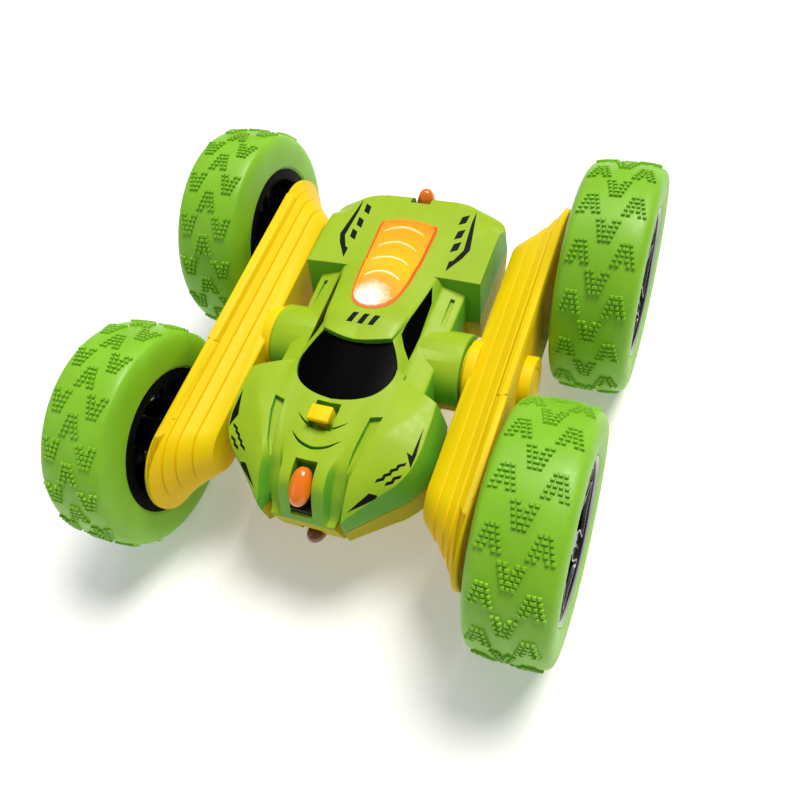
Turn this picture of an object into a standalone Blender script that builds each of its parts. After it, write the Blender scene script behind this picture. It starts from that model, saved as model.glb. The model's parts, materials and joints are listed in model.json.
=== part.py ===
"""A double-sided remote control stunt car.

A green and yellow chassis hangs between two long yellow arms. Each arm turns freely
on a hollow trunnion, carries one motor in that trunnion, and drives its front and rear
wheels through two mirrored gear trains. The nose points along -Y, +Z is up, and the
floor under the tyres is z = 0. All sizes are in millimetres until make_object turns
them into metres.
"""
import math

import bmesh
import bpy
from mathutils import Vector

# ---------------------------------------------------------------- driving sizes
MM = 0.001
GAP = 0.3                      # clearance between pieces that lie against each other

WHEEL_RADIUS = 35.0
TYRE_HALF_WIDTH = 11.8
WHEEL_X = 62.5                 # centre plane of each wheel, out from the car's middle
AXLE_Y = 44.0                  # half of the wheelbase
AXLE_Z = WHEEL_RADIUS          # height of the axles, the arm pivot and the shell split

RIM_RADIUS = 23.1
RIM_WALL = 1.7
HUB_RADIUS = 5.5
SPOKES = 5
AXLE_RADIUS = 1.5

SHELL_WALL = 1.6
BELLY_Z = 19.0
SILL_Z = 24.0                  # lower edge of the lower shell's upright sides

BOSS_RADIUS = 11.8             # collar of the chassis that holds an arm's trunnion
BOSS_BORE = 9.2
BOSS_INNER_X = 18.6
BOSS_OUTER_X = 30.5
POCKET_RADIUS = 10.7           # widening behind the bore, where the retainer sits
POCKET_END_X = 22.6
TRUNNION_RADIUS = 8.9
TRUNNION_BORE = 7.9
TRUNNION_END_X = 20.0
RETAINER_RADIUS = 10.4

ARM_INNER_X = 32.8
ARM_SPLIT_X = 45.6             # the cover closes the housing here
ARM_OUTER_X = 47.3
ARM_WALL = 1.3
MOTOR_BOSS_RADIUS = 8.5
MOTOR_BOSS_X = 50.5

MODULE = 1.0                   # gear tooth size
PINION_TEETH = 8
COMPOUND_BIG_TEETH = 22
COMPOUND_SMALL_TEETH = 10
IDLER_TEETH = 15
WHEEL_GEAR_TEETH = 18
COMPOUND_Y = MODULE * (PINION_TEETH + COMPOUND_BIG_TEETH) / 2
IDLER_Y = COMPOUND_Y + MODULE * (COMPOUND_SMALL_TEETH + IDLER_TEETH) / 2
OUTER_LAYER = (42.5, 45.2)     # pinion and large compound gear
INNER_LAYER = (38.9, 42.2)     # small compound gear, idler and wheel gear
PIN_RADIUS = 1.2               # the gears' pins, moulded with the housing
PIN_BORE = 1.5
PIN_END_X = ARM_SPLIT_X - GAP

SCREW_RADIUS = 0.9
SCREW_HEAD_RADIUS = 2.0
PILOT_RADIUS = 1.05            # hole that a screw's thread bites into

# The EXACT solver leaves slits in these, whose thin walls nearly touch their cutters.
THIN_WALLED = {"upper_shell", "left_arm_housing", "right_arm_housing"}

SIDES = {"left": -1, "right": 1}
ENDS = {"front": -1, "rear": 1}


# ---------------------------------------------------------------- materials
def make_material(name, colour, roughness, metallic=0.0, alpha=1.0):
    material = bpy.data.materials.new(name)
    material.use_nodes = True
    shader = material.node_tree.nodes["Principled BSDF"]
    shader.inputs["Base Color"].default_value = (*colour, 1.0)
    shader.inputs["Roughness"].default_value = roughness
    shader.inputs["Metallic"].default_value = metallic
    shader.inputs["Alpha"].default_value = alpha
    material.diffuse_color = (*colour, alpha)
    return material


for old in list(bpy.data.objects):
    bpy.data.objects.remove(old, do_unlink=True)

GREEN = make_material("green_plastic", (0.33, 0.62, 0.05), 0.35)
YELLOW = make_material("yellow_plastic", (0.95, 0.72, 0.0), 0.4)
GLAZING = make_material("black_glazing", (0.005, 0.005, 0.006), 0.12)
AMBER = make_material("amber_lens", (1.0, 0.3, 0.02), 0.15, alpha=0.8)
TYRE_GREEN = make_material("green_rubber", (0.24, 0.52, 0.05), 0.65)
RIM_BLACK = make_material("black_rim", (0.01, 0.01, 0.012), 0.3)
STEEL = make_material("steel", (0.6, 0.6, 0.62), 0.3, metallic=1.0)
GEAR_WHITE = make_material("gear_nylon", (0.85, 0.85, 0.8), 0.5)
BOARD_GREEN = make_material("board_laminate", (0.02, 0.2, 0.06), 0.5)
WRAP_BLUE = make_material("battery_wrap", (0.05, 0.15, 0.5), 0.4)
SWITCH_GREY = make_material("switch_case", (0.3, 0.3, 0.32), 0.4)


# ---------------------------------------------------------------- mesh helpers
def make_object(name, mesh, material, origin=(0, 0, 0), smooth_degrees=None):
    """Turn a bmesh in millimetres into an object whose origin lies at a given point."""
    bmesh.ops.recalc_face_normals(mesh, faces=mesh.faces)
    place = Vector(origin)
    for vertex in mesh.verts:
        vertex.co = (vertex.co - place) * MM
    data = bpy.data.meshes.new(name)
    mesh.to_mesh(data)
    mesh.free()
    if smooth_degrees:
        data.shade_smooth()
        data.set_sharp_from_angle(angle=math.radians(smooth_degrees))
    data.materials.append(material)
    item = bpy.data.objects.new(name, data)
    item.location = place * MM
    bpy.context.collection.objects.link(item)
    return item


def combine(target, mesh, operation):
    """Cut a bmesh out of an object, join it on, or keep only what both hold."""
    count = len(target.modifiers) + 1
    tool = make_object(f"{target.name}_tool_{count}", mesh, target.data.materials[0])
    tool.hide_render = True
    tool.display_type = "WIRE"
    step = target.modifiers.new(f"step_{count}", "BOOLEAN")
    step.operation = operation
    step.object = tool
    step.solver = "MANIFOLD" if target.name in THIN_WALLED else "EXACT"


def cut(target, mesh):
    combine(target, mesh, "DIFFERENCE")


def join(target, mesh):
    combine(target, mesh, "UNION")


def walls(mesh, first, second):
    for i in range(len(first)):
        j = (i + 1) % len(first)
        mesh.faces.new((first[i], first[j], second[j], second[i]))


def cap(mesh, outer, inner=None):
    """Fill a flat loop, or the band between an outer loop and a hole in it."""
    if inner is None:
        mesh.faces.new(outer)
        return
    edges = []
    for loop in (outer, inner):
        for i in range(len(loop)):
            pair = (loop[i], loop[(i + 1) % len(loop)])
            edges.append(mesh.edges.get(pair) or mesh.edges.new(pair))
    bmesh.ops.triangle_fill(mesh, edges=edges, use_beauty=True)


def loft(rings, mesh=None):
    """Close a skin over rings of points that all have the same number of points."""
    mesh = mesh or bmesh.new()
    loops = [[mesh.verts.new(point) for point in ring] for ring in rings]
    for first, second in zip(loops, loops[1:]):
        walls(mesh, first, second)
    cap(mesh, loops[0])
    cap(mesh, loops[-1])
    return mesh


def circle(radius, count, phase=0.0):
    turns = [phase + 2 * math.pi * i / count for i in range(count)]
    return [(radius * math.cos(a), radius * math.sin(a)) for a in turns]


def disc_x(radius, x, y=0.0, z=AXLE_Z, count=16):
    return [(x, y + a, z + b) for a, b in circle(radius, count)]


def rod_x(radius, x0, x1, y=0.0, z=AXLE_Z, count=16, mesh=None):
    return loft([disc_x(radius, x0, y, z, count), disc_x(radius, x1, y, z, count)], mesh)


def rod_z(radius, x, y, z0, z1, count=12, mesh=None):
    rings = [[(x + a, y + b, z) for a, b in circle(radius, count)] for z in (z0, z1)]
    return loft(rings, mesh)


def box(x0, x1, y0, y1, z0, z1, mesh=None):
    corners = ((x0, y0), (x1, y0), (x1, y1), (x0, y1))
    return loft([[(x, y, z) for x, y in corners] for z in (z0, z1)], mesh)


def prism_z(outline, z0, z1, mesh=None):
    return loft([[(x, y, z) for x, y in outline] for z in (z0, z1)], mesh)


def stepped_prism(layers, bore, y, z=AXLE_Z):
    """Stack outlines along X, from the widest layer to the narrowest, round one bore."""
    mesh = bmesh.new()

    def ring(x, outline):
        return [mesh.verts.new((x, y + a, z + b)) for a, b in outline]

    hole = [ring(x, bore) for x in (layers[0][0], layers[-1][1])] if bore else (None, None)
    below = None
    for x0, x1, outline in layers:
        start, end = ring(x0, outline), ring(x1, outline)
        cap(mesh, *((below, start) if below else (start, hole[0])))
        walls(mesh, start, end)
        below = end
    cap(mesh, below, hole[1])
    if bore:
        walls(mesh, *hole)
    return mesh


def turned_x(profile, side, y, count, z=AXLE_Z):
    """Turn a closed profile of (x, radius) points round an axis along X, flats downwards."""
    mesh = bmesh.new()
    rings = []
    for x, radius in profile:
        outline = circle(radius, count, math.pi / count)
        rings.append([mesh.verts.new((side * x, y + a, z + b)) for a, b in outline])
    for first, second in zip(rings, rings[1:] + rings[:1]):
        walls(mesh, first, second)
    return mesh


def gear_outline(teeth, end, tooth_towards_pinion):
    """Teeth with narrow flat tips and pointed roots, which leave backlash when meshed.

    On the side of the gear that faces the pinion, at -end along Y, there is either a
    tooth or a gap, so that every pair is in mesh at rest.
    """
    tip = MODULE * (teeth / 2 + 0.75)
    root = MODULE * (teeth / 2 - 1.3)
    pitch = 2 * math.pi / teeth
    towards_pinion = math.pi if end > 0 else 0.0
    outline = []
    for i in range(teeth):
        centre = towards_pinion + (i + (0.0 if tooth_towards_pinion else 0.5)) * pitch
        for radius, share in ((tip, -0.05), (tip, 0.05), (root, 0.5)):
            angle = centre + share * pitch
            outline.append((radius * math.cos(angle), radius * math.sin(angle)))
    return outline


# ---------------------------------------------------------------- chassis shells
# Each station is one cross-section of the right half of the body: its place along Y, which
# way its inside face steps to leave a wall there, and the (x, z) of the crown, the roof
# edge, the sill, the shoulder and the half-width at the split.
STATIONS = [
    (-58.7, 1, (0, 42.5), (7.0, 42.3), (9.5, 41.8), (12.5, 40.8), 13.1),
    (-54.0, 0, (0, 46.6), (7.0, 46.2), (10.2, 45.4), (17.2, 42.4), 18.0),
    (-49.0, 0, (0, 48.2), (7.0, 48.0), (11.4, 47.8), (22.1, 43.9), 22.9),
    (-41.5, 0, (0, 49.4), (8.0, 49.6), (14.2, 50.2), (28.1, 46.2), 29.9),
    (-34.0, 0, (0, 50.4), (9.0, 50.6), (15.8, 51.1), (29.1, 48.0), 31.6),
    (-23.0, 0, (0, 51.2), (12.0, 51.0), (17.0, 50.8), (28.9, 48.6), 30.9),
    (-18.0, -1, (0, 51.6), (13.0, 50.8), (17.6, 49.6), (28.6, 48.4), 30.4),
    (-17.0, -1, (0, 51.7), (13.0, 50.7), (16.8, 47.6), (23.2, 44.4), 24.0),
    (-4.0, 0, (0, 53.0), (11.2, 52.4), (16.6, 46.8), (23.2, 44.4), 24.0),
    (4.0, 0, (0, 54.0), (12.4, 52.2), (16.8, 46.6), (23.2, 44.4), 24.0),
    (19.0, 1, (0, 52.2), (14.8, 49.8), (17.0, 46.6), (23.6, 44.4), 24.2),
    (21.0, 1, (0, 51.9), (15.0, 49.7), (20.0, 49.4), (28.6, 49.1), 28.9),
    (44.0, 0, (0, 49.7), (15.0, 49.5), (21.0, 49.3), (28.6, 48.4), 28.9),
    (50.0, 0, (0, 49.5), (15.0, 49.5), (21.0, 49.2), (28.5, 44.6), 28.8),
    (53.5, 0, (0, 49.3), (15.0, 49.3), (20.0, 49.0), (24.4, 45.6), 25.5),
    (56.8, -1, (0, 46.4), (12.0, 46.2), (15.0, 45.6), (17.0, 43.6), 18.0),
]


def half_to_loop(y, half):
    right = [(x, y, z) for x, z in half]
    left = [(-x, y, z) for x, z in reversed(half) if x > 0]
    return right + left


def upper_rings(inset, lift=0.0, floor_z=AXLE_Z - 4):
    """Cross-sections of the upper body, moved in by an even wall where inset is set."""
    rings = []
    for y, step, crown, roof, sill, shoulder, half_width in STATIONS:
        half = [(0, crown[1] - inset + lift)]
        half += [(x - inset * 0.7, z - inset + lift) for x, z in (roof, sill)]
        half += [(shoulder[0] - inset, shoulder[1] - inset + lift)]
        half += [(half_width - inset, AXLE_Z), (half_width - inset, floor_z)]
        rings.append(half_to_loop(y + step * inset, half))
    return rings


def lower_rings(inset, top_z=AXLE_Z + 4):
    """Cross-sections of the lower body: upright sides down to a flat belly."""
    rings = []
    for y, step, _, _, _, _, half_width in STATIONS:
        at_nose = (y + 60) / 20
        belly = max(BELLY_Z, SILL_Z - 5 * max(0.0, at_nose))
        rise = 0.0 if y < 50 else (y - 50) * 0.4
        sill = half_width - 0.9
        half = [(0, belly + rise + inset), (sill - 7.0, belly + rise + inset)]
        half += [(sill - inset, SILL_Z + rise + inset * 0.7)]
        half += [(half_width - inset, AXLE_Z), (half_width - inset, top_z)]
        rings.append(half_to_loop(y + step * inset, half))
    return rings


WINDSHIELD = [(10.6, -4.4), (13.2, -8.5), (14.9, -13.0), (14.4, -18.0), (11.6, -22.5),
              (6.5, -25.2), (0.0, -26.0)]
WINDSHIELD += [(-x, y) for x, y in reversed(WINDSHIELD[:-1])] + [(-6.0, -5.8), (0, -6.4), (6.0, -5.8)]
ROOF_LENS = [(9.4, 44.0), (7.6, 11.5), (5.6, 7.0), (0.0, 4.6), (-5.6, 7.0), (-7.6, 11.5), (-9.4, 44.0)]
SIDE_WINDOW = [(18.6, 48.9), (15.4, 47.5), (-7.4, 47.6), (-1.9, 51.2)]
NOSE_SLOT = (3.8, -46.4)       # half-width, and where the slot starts behind the lamp
TAIL_NOTCH = (3.3, 52.6)
SWITCH_SLOT = (3.6, -36.6, -28.6)
SHELL_SCREWS = {"front_left": (-21, -36), "front_right": (21, -36),
                "rear_left": (-21, 40), "rear_right": (21, 40)}
DOOR_HALF = (11.0, 27.0)
DOOR_SCREW_Y = 23.5


def grown(outline, amount):
    """Move an outline's points away from its centre by about the given distance."""
    centre = sum((Vector(p) for p in outline), Vector((0, 0))) / len(outline)
    moved = []
    for point in outline:
        arm = Vector(point) - centre
        moved.append(tuple(centre + arm * (1 + amount / arm.length)))
    return moved


def window_prism(side, amount, x0=8.0, x1=24.0):
    outline = grown(SIDE_WINDOW, amount)
    return loft([[(side * x, y, z) for y, z in outline] for x in (x0, x1)])


def trunnion_bosses(radius, x0, x1):
    mesh = bmesh.new()
    for side in SIDES.values():
        rod_x(radius, side * x0, side * x1, count=20, mesh=mesh)
    return mesh


def screw_posts(radius, z0, z1):
    mesh = bmesh.new()
    for x, y in SHELL_SCREWS.values():
        rod_z(radius, x, y, z0, z1, count=8, mesh=mesh)
    return mesh


def build_upper_shell():
    shell = make_object("upper_shell", loft(upper_rings(0)), GREEN)
    cut(shell, loft(upper_rings(SHELL_WALL, floor_z=AXLE_Z - 5)))
    join(shell, trunnion_bosses(BOSS_RADIUS, BOSS_INNER_X, BOSS_OUTER_X))
    join(shell, screw_posts(2.7, AXLE_Z - 2, 48.0))
    cut(shell, trunnion_bosses(BOSS_BORE, BOSS_INNER_X - 0.6, BOSS_OUTER_X + 2))
    cut(shell, trunnion_bosses(POCKET_RADIUS, BOSS_INNER_X - 0.6, POCKET_END_X))
    cut(shell, box(-40, 40, -70, 70, 10, AXLE_Z + GAP / 2))
    cut(shell, prism_z(grown(WINDSHIELD, GAP), 44, 60))
    cut(shell, prism_z(grown(ROOF_LENS, GAP), 44, 60))
    for side in SIDES.values():
        cut(shell, window_prism(side, GAP))
    half, back = NOSE_SLOT
    cut(shell, box(-half, half, -70, back, 38.6, 60))
    half, front = TAIL_NOTCH
    cut(shell, box(-half, half, front, 70, 39.6, 60))
    half, front, back = SWITCH_SLOT
    cut(shell, box(-half, half, front, back, 44, 60))
    cut(shell, screw_posts(PILOT_RADIUS, AXLE_Z - 5, 43.0))


def build_lower_shell():
    shell = make_object("lower_shell", loft(lower_rings(0)), YELLOW)
    cut(shell, loft(lower_rings(SHELL_WALL, top_z=AXLE_Z + 5)))
    join(shell, trunnion_bosses(BOSS_RADIUS, BOSS_INNER_X, BOSS_OUTER_X))
    join(shell, screw_posts(2.7, BELLY_Z + 0.6, AXLE_Z + 2))
    cut(shell, trunnion_bosses(BOSS_BORE, BOSS_INNER_X - 0.6, BOSS_OUTER_X + 2))
    cut(shell, trunnion_bosses(POCKET_RADIUS, BOSS_INNER_X - 0.6, POCKET_END_X))
    cut(shell, box(-40, 40, -70, 70, AXLE_Z - GAP / 2, 60))
    half_x, half_y = DOOR_HALF
    cut(shell, box(-half_x - GAP, half_x + GAP, -half_y - GAP, half_y + GAP, 10, 22))
    cut(shell, box(-3.4, 3.4, -70, -49.6, 10, 28.0))
    screw_bar = box(-13.0, 13.0, DOOR_SCREW_Y - 2.6, DOOR_SCREW_Y + 2.6, 23.4, 26.6)
    box(-13.0, -11.6, DOOR_SCREW_Y - 2.6, DOOR_SCREW_Y + 2.6, 20.2, 26.6, screw_bar)
    box(11.6, 13.0, DOOR_SCREW_Y - 2.6, DOOR_SCREW_Y + 2.6, 20.2, 26.6, screw_bar)
    join(shell, screw_bar)
    cut(shell, rod_z(PILOT_RADIUS, 0, DOOR_SCREW_Y, 10, 40, count=8))
    cut(shell, screw_posts(1.2, 10, AXLE_Z + 5))
    cut(shell, screw_posts(2.3, 10, 29.0))


def skin_patch(name, outline_prism, lift, material):
    """A panel that fills an opening and follows the shell's own outer surface."""
    panel = make_object(name, outline_prism, material)
    combine(panel, loft(upper_rings(0, lift)), "INTERSECT")
    cut(panel, loft(upper_rings(SHELL_WALL, lift, floor_z=AXLE_Z - 5)))


def capsule(y, z, radius, half_length, tilt_degrees, count=12):
    """A round-ended lamp body whose axis lies in the car's middle plane."""
    along = Vector((0, math.cos(math.radians(tilt_degrees)), math.sin(math.radians(tilt_degrees))))
    across = Vector((0, -along.z, along.y))
    centre = Vector((0, y, z))
    rings = []
    for share, angle in ((-1, -78), (-1, -45), (-1, 0), (1, 0), (1, 45), (1, 78)):
        lift = share * half_length + radius * math.sin(math.radians(angle))
        ring_radius = radius * math.cos(math.radians(angle))
        middle = centre + along * lift
        rings.append([middle + Vector((a, 0, 0)) + across * b for a, b in circle(ring_radius, count)])
    return loft(rings)


def screw(name, head_at, direction, length, material=STEEL, origin=(0, 0, 0)):
    """A pan-head screw: the head starts at head_at and the shank runs along direction."""
    start = Vector(head_at)
    way = Vector(direction)
    side_a = way.orthogonal().normalized()
    side_b = way.cross(side_a)
    profile = ((0.0, SCREW_HEAD_RADIUS), (1.3, SCREW_HEAD_RADIUS), (1.3, SCREW_RADIUS),
               (length, SCREW_RADIUS))
    rings = []
    for depth, radius in profile:
        middle = start + way * depth
        rings.append([middle + side_a * a + side_b * b for a, b in circle(radius, 8)])
    make_object(name, loft(rings), material, origin, smooth_degrees=40)


def build_chassis():
    build_upper_shell()
    build_lower_shell()
    skin_patch("windshield", prism_z(WINDSHIELD, 44, 60), -0.3, GLAZING)
    skin_patch("roof_lens", prism_z(ROOF_LENS, 44, 60), 0.6, AMBER)
    for name, side in SIDES.items():
        skin_patch(f"side_window_{name}", window_prism(side, 0), -0.2, GLAZING)
    make_object("nose_lamp", capsule(-52.9, 45.6, 3.3, 3.0, 24), AMBER, smooth_degrees=50)
    make_object("tail_lamp", capsule(56.6, 46.2, 2.9, 2.6, 70), AMBER, smooth_degrees=50)
    make_object("belly_lamp", capsule(-54.9, 22.6, 2.9, 2.0, -30), AMBER, smooth_degrees=50)
    for name, (x, y) in SHELL_SCREWS.items():
        screw(f"shell_screw_{name}", (x, y, 27.4), (0, 0, 1), 13.0)
    build_electrics()
    build_battery_door()


def build_electrics():
    half, front, back = SWITCH_SLOT
    case_top = 46.6
    case = box(-5.5, 5.5, front - 1, back + 1, case_top - 4, case_top)
    make_object("switch_case", case, SWITCH_GREY)
    cap = box(-half + GAP, half - GAP, front + GAP, front + 5.4, 50.6, 54.0)
    knob = make_object("switch_knob", cap, YELLOW, origin=(0, front + 2.8, 48))
    join(knob, box(-1.5, 1.5, front + 1.6, front + 4.2, case_top + GAP, 51.5))
    board_top = 39.5
    plate = box(-15.0, 15.0, -24.0, 24.0, board_top - 1.5, board_top)
    board = make_object("circuit_board", plate, BOARD_GREEN)
    chips = box(-6.0, 6.0, -8.0, 4.0, board_top - 0.5, board_top + 1.5)
    box(-12.0, -8.0, 8.0, 20.0, board_top - 0.5, board_top + 2.9, chips)
    box(5.0, 12.0, 10.0, 18.0, board_top - 0.5, board_top + 3.9, chips)
    join(board, chips)
    led = loft([[(a, 12 + b, z) for a, b in circle(r, 12)]
                for z, r in ((board_top + GAP, 2.9), (40.9, 2.9), (40.9, 2.5), (45.0, 2.5), (46.6, 1.6))])
    make_object("roof_led", led, AMBER, smooth_degrees=50)
    pack = box(-8.6, 8.6, -22.0, 20.0, 21.4, 32.4)
    bmesh.ops.bevel(pack, geom=list(pack.edges), offset=1.4, segments=1, affect="EDGES")
    make_object("battery_pack", pack, WRAP_BLUE)


def build_battery_door():
    half_x, half_y = DOOR_HALF
    panel = box(-half_x, half_x, -half_y, half_y, BELLY_Z, BELLY_Z + 1.6)
    door = make_object("battery_door", panel, YELLOW)
    join(door, box(-5.0, 5.0, half_y - 7.0, half_y - 0.2, BELLY_Z + 0.8, BELLY_Z + 4.1))
    cut(door, rod_z(1.2, 0, DOOR_SCREW_Y, 10, 30))
    cut(door, rod_z(2.3, 0, DOOR_SCREW_Y, 10, BELLY_Z + 2.0))
    screw("battery_door_screw", (0, DOOR_SCREW_Y, BELLY_Z + 0.4), (0, 0, 1), 7.0)


# ---------------------------------------------------------------- arms
# The arm widens in steps from its inboard face to its rim: (x, half-height, reach along Y).
ARM_STEPS = [
    (ARM_INNER_X, 8.6, 50.2), (33.6, 9.4, 51.2), (37.9, 10.8, 54.4), (38.2, 11.6, 55.4),
    (41.5, 12.6, 58.3), (41.8, 13.3, 59.2), (44.0, 14.2, 61.8), (44.3, 15.0, 64.2),
    (ARM_SPLIT_X, 15.3, 65.2),
]
POST_Y = 58.0                  # the cover screws' posts, beyond the wheel gears
POST_RADIUS = 2.6
POST_ROOT_X = 41.0
AXLE_BOSS_RADIUS = 4.0         # bearing inside the housing, behind the wheel gear
AXLE_BOSS_END_X = 38.3
BEARING_RADIUS = 5.0           # bearing outside the cover, facing the wheel
BEARING_END_X = 49.8


def stadium(half_height, reach, count=7):
    """A long outline with round ends, centred on the pivot axis."""
    outline = []
    for end in (1, -1):
        for i in range(count):
            angle = math.pi * (i / (count - 1) - 0.5)
            y = end * (reach - half_height + half_height * math.cos(angle))
            outline.append((y, end * half_height * math.sin(angle)))
    return outline


def stadium_ring(x, half_height, reach):
    return [(x, y, AXLE_Z + z) for y, z in stadium(half_height, reach)]


def build_housing(name, side):
    pivot = (0, 0, AXLE_Z)
    rings = [stadium_ring(side * x, h, r) for x, h, r in ARM_STEPS]
    housing = make_object(f"{name}_arm_housing", loft(rings), YELLOW, pivot)
    hollow = [(x, h - ARM_WALL, r - ARM_WALL * 1.3) for x, h, r in ARM_STEPS[1::3] + ARM_STEPS[-1:]]
    hollow[0] = (ARM_INNER_X + ARM_WALL, hollow[0][1], hollow[0][2])
    hollow[-1] = (ARM_SPLIT_X + 2, hollow[-1][1], hollow[-1][2])
    cut(housing, loft([stadium_ring(side * x, h, r) for x, h, r in hollow]))
    join(housing, rod_x(TRUNNION_RADIUS, side * TRUNNION_END_X, side * 38.2, count=20))
    cut(housing, rod_x(TRUNNION_BORE, side * (TRUNNION_END_X - 2), side * 50, count=20))
    pins = bmesh.new()
    pin_root = ARM_INNER_X + 0.5
    for end in ENDS.values():
        # The idler's pin stops short, because the compound gear's teeth pass over its end.
        for y, pin_end in ((COMPOUND_Y, PIN_END_X), (IDLER_Y, INNER_LAYER[1])):
            rod_x(PIN_RADIUS, side * pin_root, side * pin_end, end * y, count=8, mesh=pins)
        rod_x(AXLE_BOSS_RADIUS, side * pin_root, side * AXLE_BOSS_END_X, end * AXLE_Y, count=10, mesh=pins)
        rod_x(POST_RADIUS, side * POST_ROOT_X, side * PIN_END_X, end * POST_Y, count=8, mesh=pins)
    join(housing, pins)
    holes = bmesh.new()
    for end in ENDS.values():
        rod_x(AXLE_RADIUS + 0.2, side * (ARM_INNER_X + 1.4), side * 40, end * AXLE_Y, count=10, mesh=holes)
        rod_x(PILOT_RADIUS, side * 42.0, side * 50, end * POST_Y, count=8, mesh=holes)
    cut(housing, holes)


def build_cover(name, side):
    pivot = (0, 0, AXLE_Z)
    rim = [(ARM_SPLIT_X + GAP, 15.3, 65.2), (46.9, 15.3, 65.2), (ARM_OUTER_X, 14.8, 64.7)]
    rings = [stadium_ring(side * x, h, r) for x, h, r in rim]
    cover = make_object(f"{name}_arm_cover", loft(rings), YELLOW, pivot)
    outside = rod_x(MOTOR_BOSS_RADIUS, side * 46.5, side * MOTOR_BOSS_X, count=20)
    for end in ENDS.values():
        rod_x(BEARING_RADIUS, side * 46.5, side * BEARING_END_X, end * AXLE_Y, count=12, mesh=outside)
    join(cover, outside)
    holes = rod_x(6.5, side * 45, side * (MOTOR_BOSS_X - 1.4), count=16)
    for end in ENDS.values():
        rod_x(AXLE_RADIUS + 0.2, side * 45, side * 52, end * AXLE_Y, count=10, mesh=holes)
        rod_x(1.2, side * 45, side * 46.4, end * POST_Y, count=8, mesh=holes)
        rod_x(2.3, side * 46.4, side * 52, end * POST_Y, count=12, mesh=holes)
    cut(cover, holes)
    for end_name, end in ENDS.items():
        screw(f"{name}_arm_screw_{end_name}", (side * 48.0, end * POST_Y, AXLE_Z), (-side, 0, 0), 5.6,
              origin=pivot)


def build_drive(name, side):
    pivot = (0, 0, AXLE_Z)
    hole = TRUNNION_RADIUS + GAP / 2
    retainer = turned_x([(20.4, hole), (20.4, RETAINER_RADIUS), (22.2, RETAINER_RADIUS), (22.2, hole)],
                        side, 0, 20)
    make_object(f"{name}_pivot_retainer", retainer, RIM_BLACK, pivot, smooth_degrees=40)
    motor = loft([disc_x(r, side * x, count=16) for x, r in
                  ((20.5, 7.6), (36.6, 7.6), (36.6, 3.0), (38.2, 3.0))])
    can = make_object(f"{name}_drive_motor", motor, STEEL, pivot, smooth_degrees=40)
    cut(can, rod_x(1.25, side * 35.5, side * 45, count=12))
    inner, outer = OUTER_LAYER
    pinion = stepped_prism([(side * outer, side * inner, gear_outline(PINION_TEETH, -1, True)),
                            (side * inner, side * 36.2, circle(0.95, 10))], None, 0)
    make_object(f"{name}_motor_pinion", pinion, GEAR_WHITE, pivot)
    bore = circle(PIN_BORE, 12)
    for end_name, end in ENDS.items():
        y = end * COMPOUND_Y
        layers = [(side * outer, side * inner, gear_outline(COMPOUND_BIG_TEETH, end, False)),
                  (side * inner, side * INNER_LAYER[0], gear_outline(COMPOUND_SMALL_TEETH, end, True))]
        make_object(f"{name}_compound_gear_{end_name}", stepped_prism(layers, bore, y), GEAR_WHITE,
                    (side * inner, y, AXLE_Z))
        y = end * IDLER_Y
        layers = [(side * INNER_LAYER[0], side * INNER_LAYER[1], gear_outline(IDLER_TEETH, end, False))]
        make_object(f"{name}_idler_gear_{end_name}", stepped_prism(layers, bore, y), GEAR_WHITE,
                    (side * inner, y, AXLE_Z))


# ---------------------------------------------------------------- wheels
TYRE_SIDES = 28                # flats round the tread, one of which rests on the floor
CROWN = WHEEL_RADIUS / math.cos(math.pi / TYRE_SIDES)
TYRE_SHOULDER = [(TYRE_HALF_WIDTH - 0.4, RIM_RADIUS + 2 * GAP), (TYRE_HALF_WIDTH, 27.0),
                 (TYRE_HALF_WIDTH - 0.6, 31.4), (TYRE_HALF_WIDTH - 2.6, 33.8), (6.5, CROWN)]
TYRE_PROFILE = [(-x, radius) for x, radius in TYRE_SHOULDER] + TYRE_SHOULDER[::-1]
# The rim: a deep cup with a return flange inboard and a dished, spoked face outboard.
RIM_PROFILE = [(-11.0, RIM_RADIUS - RIM_WALL), (-11.0, RIM_RADIUS), (11.0, RIM_RADIUS),
               (11.0, RIM_RADIUS - RIM_WALL), (4.0, 19.6), (4.0, AXLE_RADIUS + 0.2),
               (-10.2, AXLE_RADIUS + 0.2), (-10.2, HUB_RADIUS), (1.4, HUB_RADIUS), (1.4, 20.4)]


def build_wheel(side_name, side, end_name, end):
    name = f"{end_name}_{side_name}"
    y = end * AXLE_Y
    centre = (side * WHEEL_X, y, AXLE_Z)
    tyre_profile = [(WHEEL_X + x, radius) for x, radius in TYRE_PROFILE]
    tyre = turned_x(tyre_profile, side, y, TYRE_SIDES)
    make_object(f"{name}_tyre", tyre, TYRE_GREEN, centre, smooth_degrees=50)
    rim_profile = [(WHEEL_X + x, radius) for x, radius in RIM_PROFILE]
    rim = make_object(f"{name}_rim", turned_x(rim_profile, side, y, 24), RIM_BLACK, centre, 40)
    windows = bmesh.new()
    for i in range(SPOKES):
        middle = 2 * math.pi * (i + 0.5) / SPOKES
        corners = ((9.0, -0.28), (18.6, -0.36), (18.6, 0.36), (9.0, 0.28))
        outline = [(y + r * math.cos(middle + a), AXLE_Z + r * math.sin(middle + a)) for r, a in corners]
        loft([[(side * x, a, b) for a, b in outline] for x in (WHEEL_X - 2, WHEEL_X + 9)], windows)
    cut(rim, windows)
    axle = rod_x(AXLE_RADIUS, side * 34.6, side * (WHEEL_X + 3.2), y, count=12)
    make_object(f"{name}_axle", axle, STEEL, centre, smooth_degrees=40)
    layers = [(side * INNER_LAYER[0], side * INNER_LAYER[1], gear_outline(WHEEL_GEAR_TEETH, end, False))]
    gear = stepped_prism(layers, circle(AXLE_RADIUS + 0.2, 12), y)
    make_object(f"{name}_wheel_gear", gear, GEAR_WHITE, centre)


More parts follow.
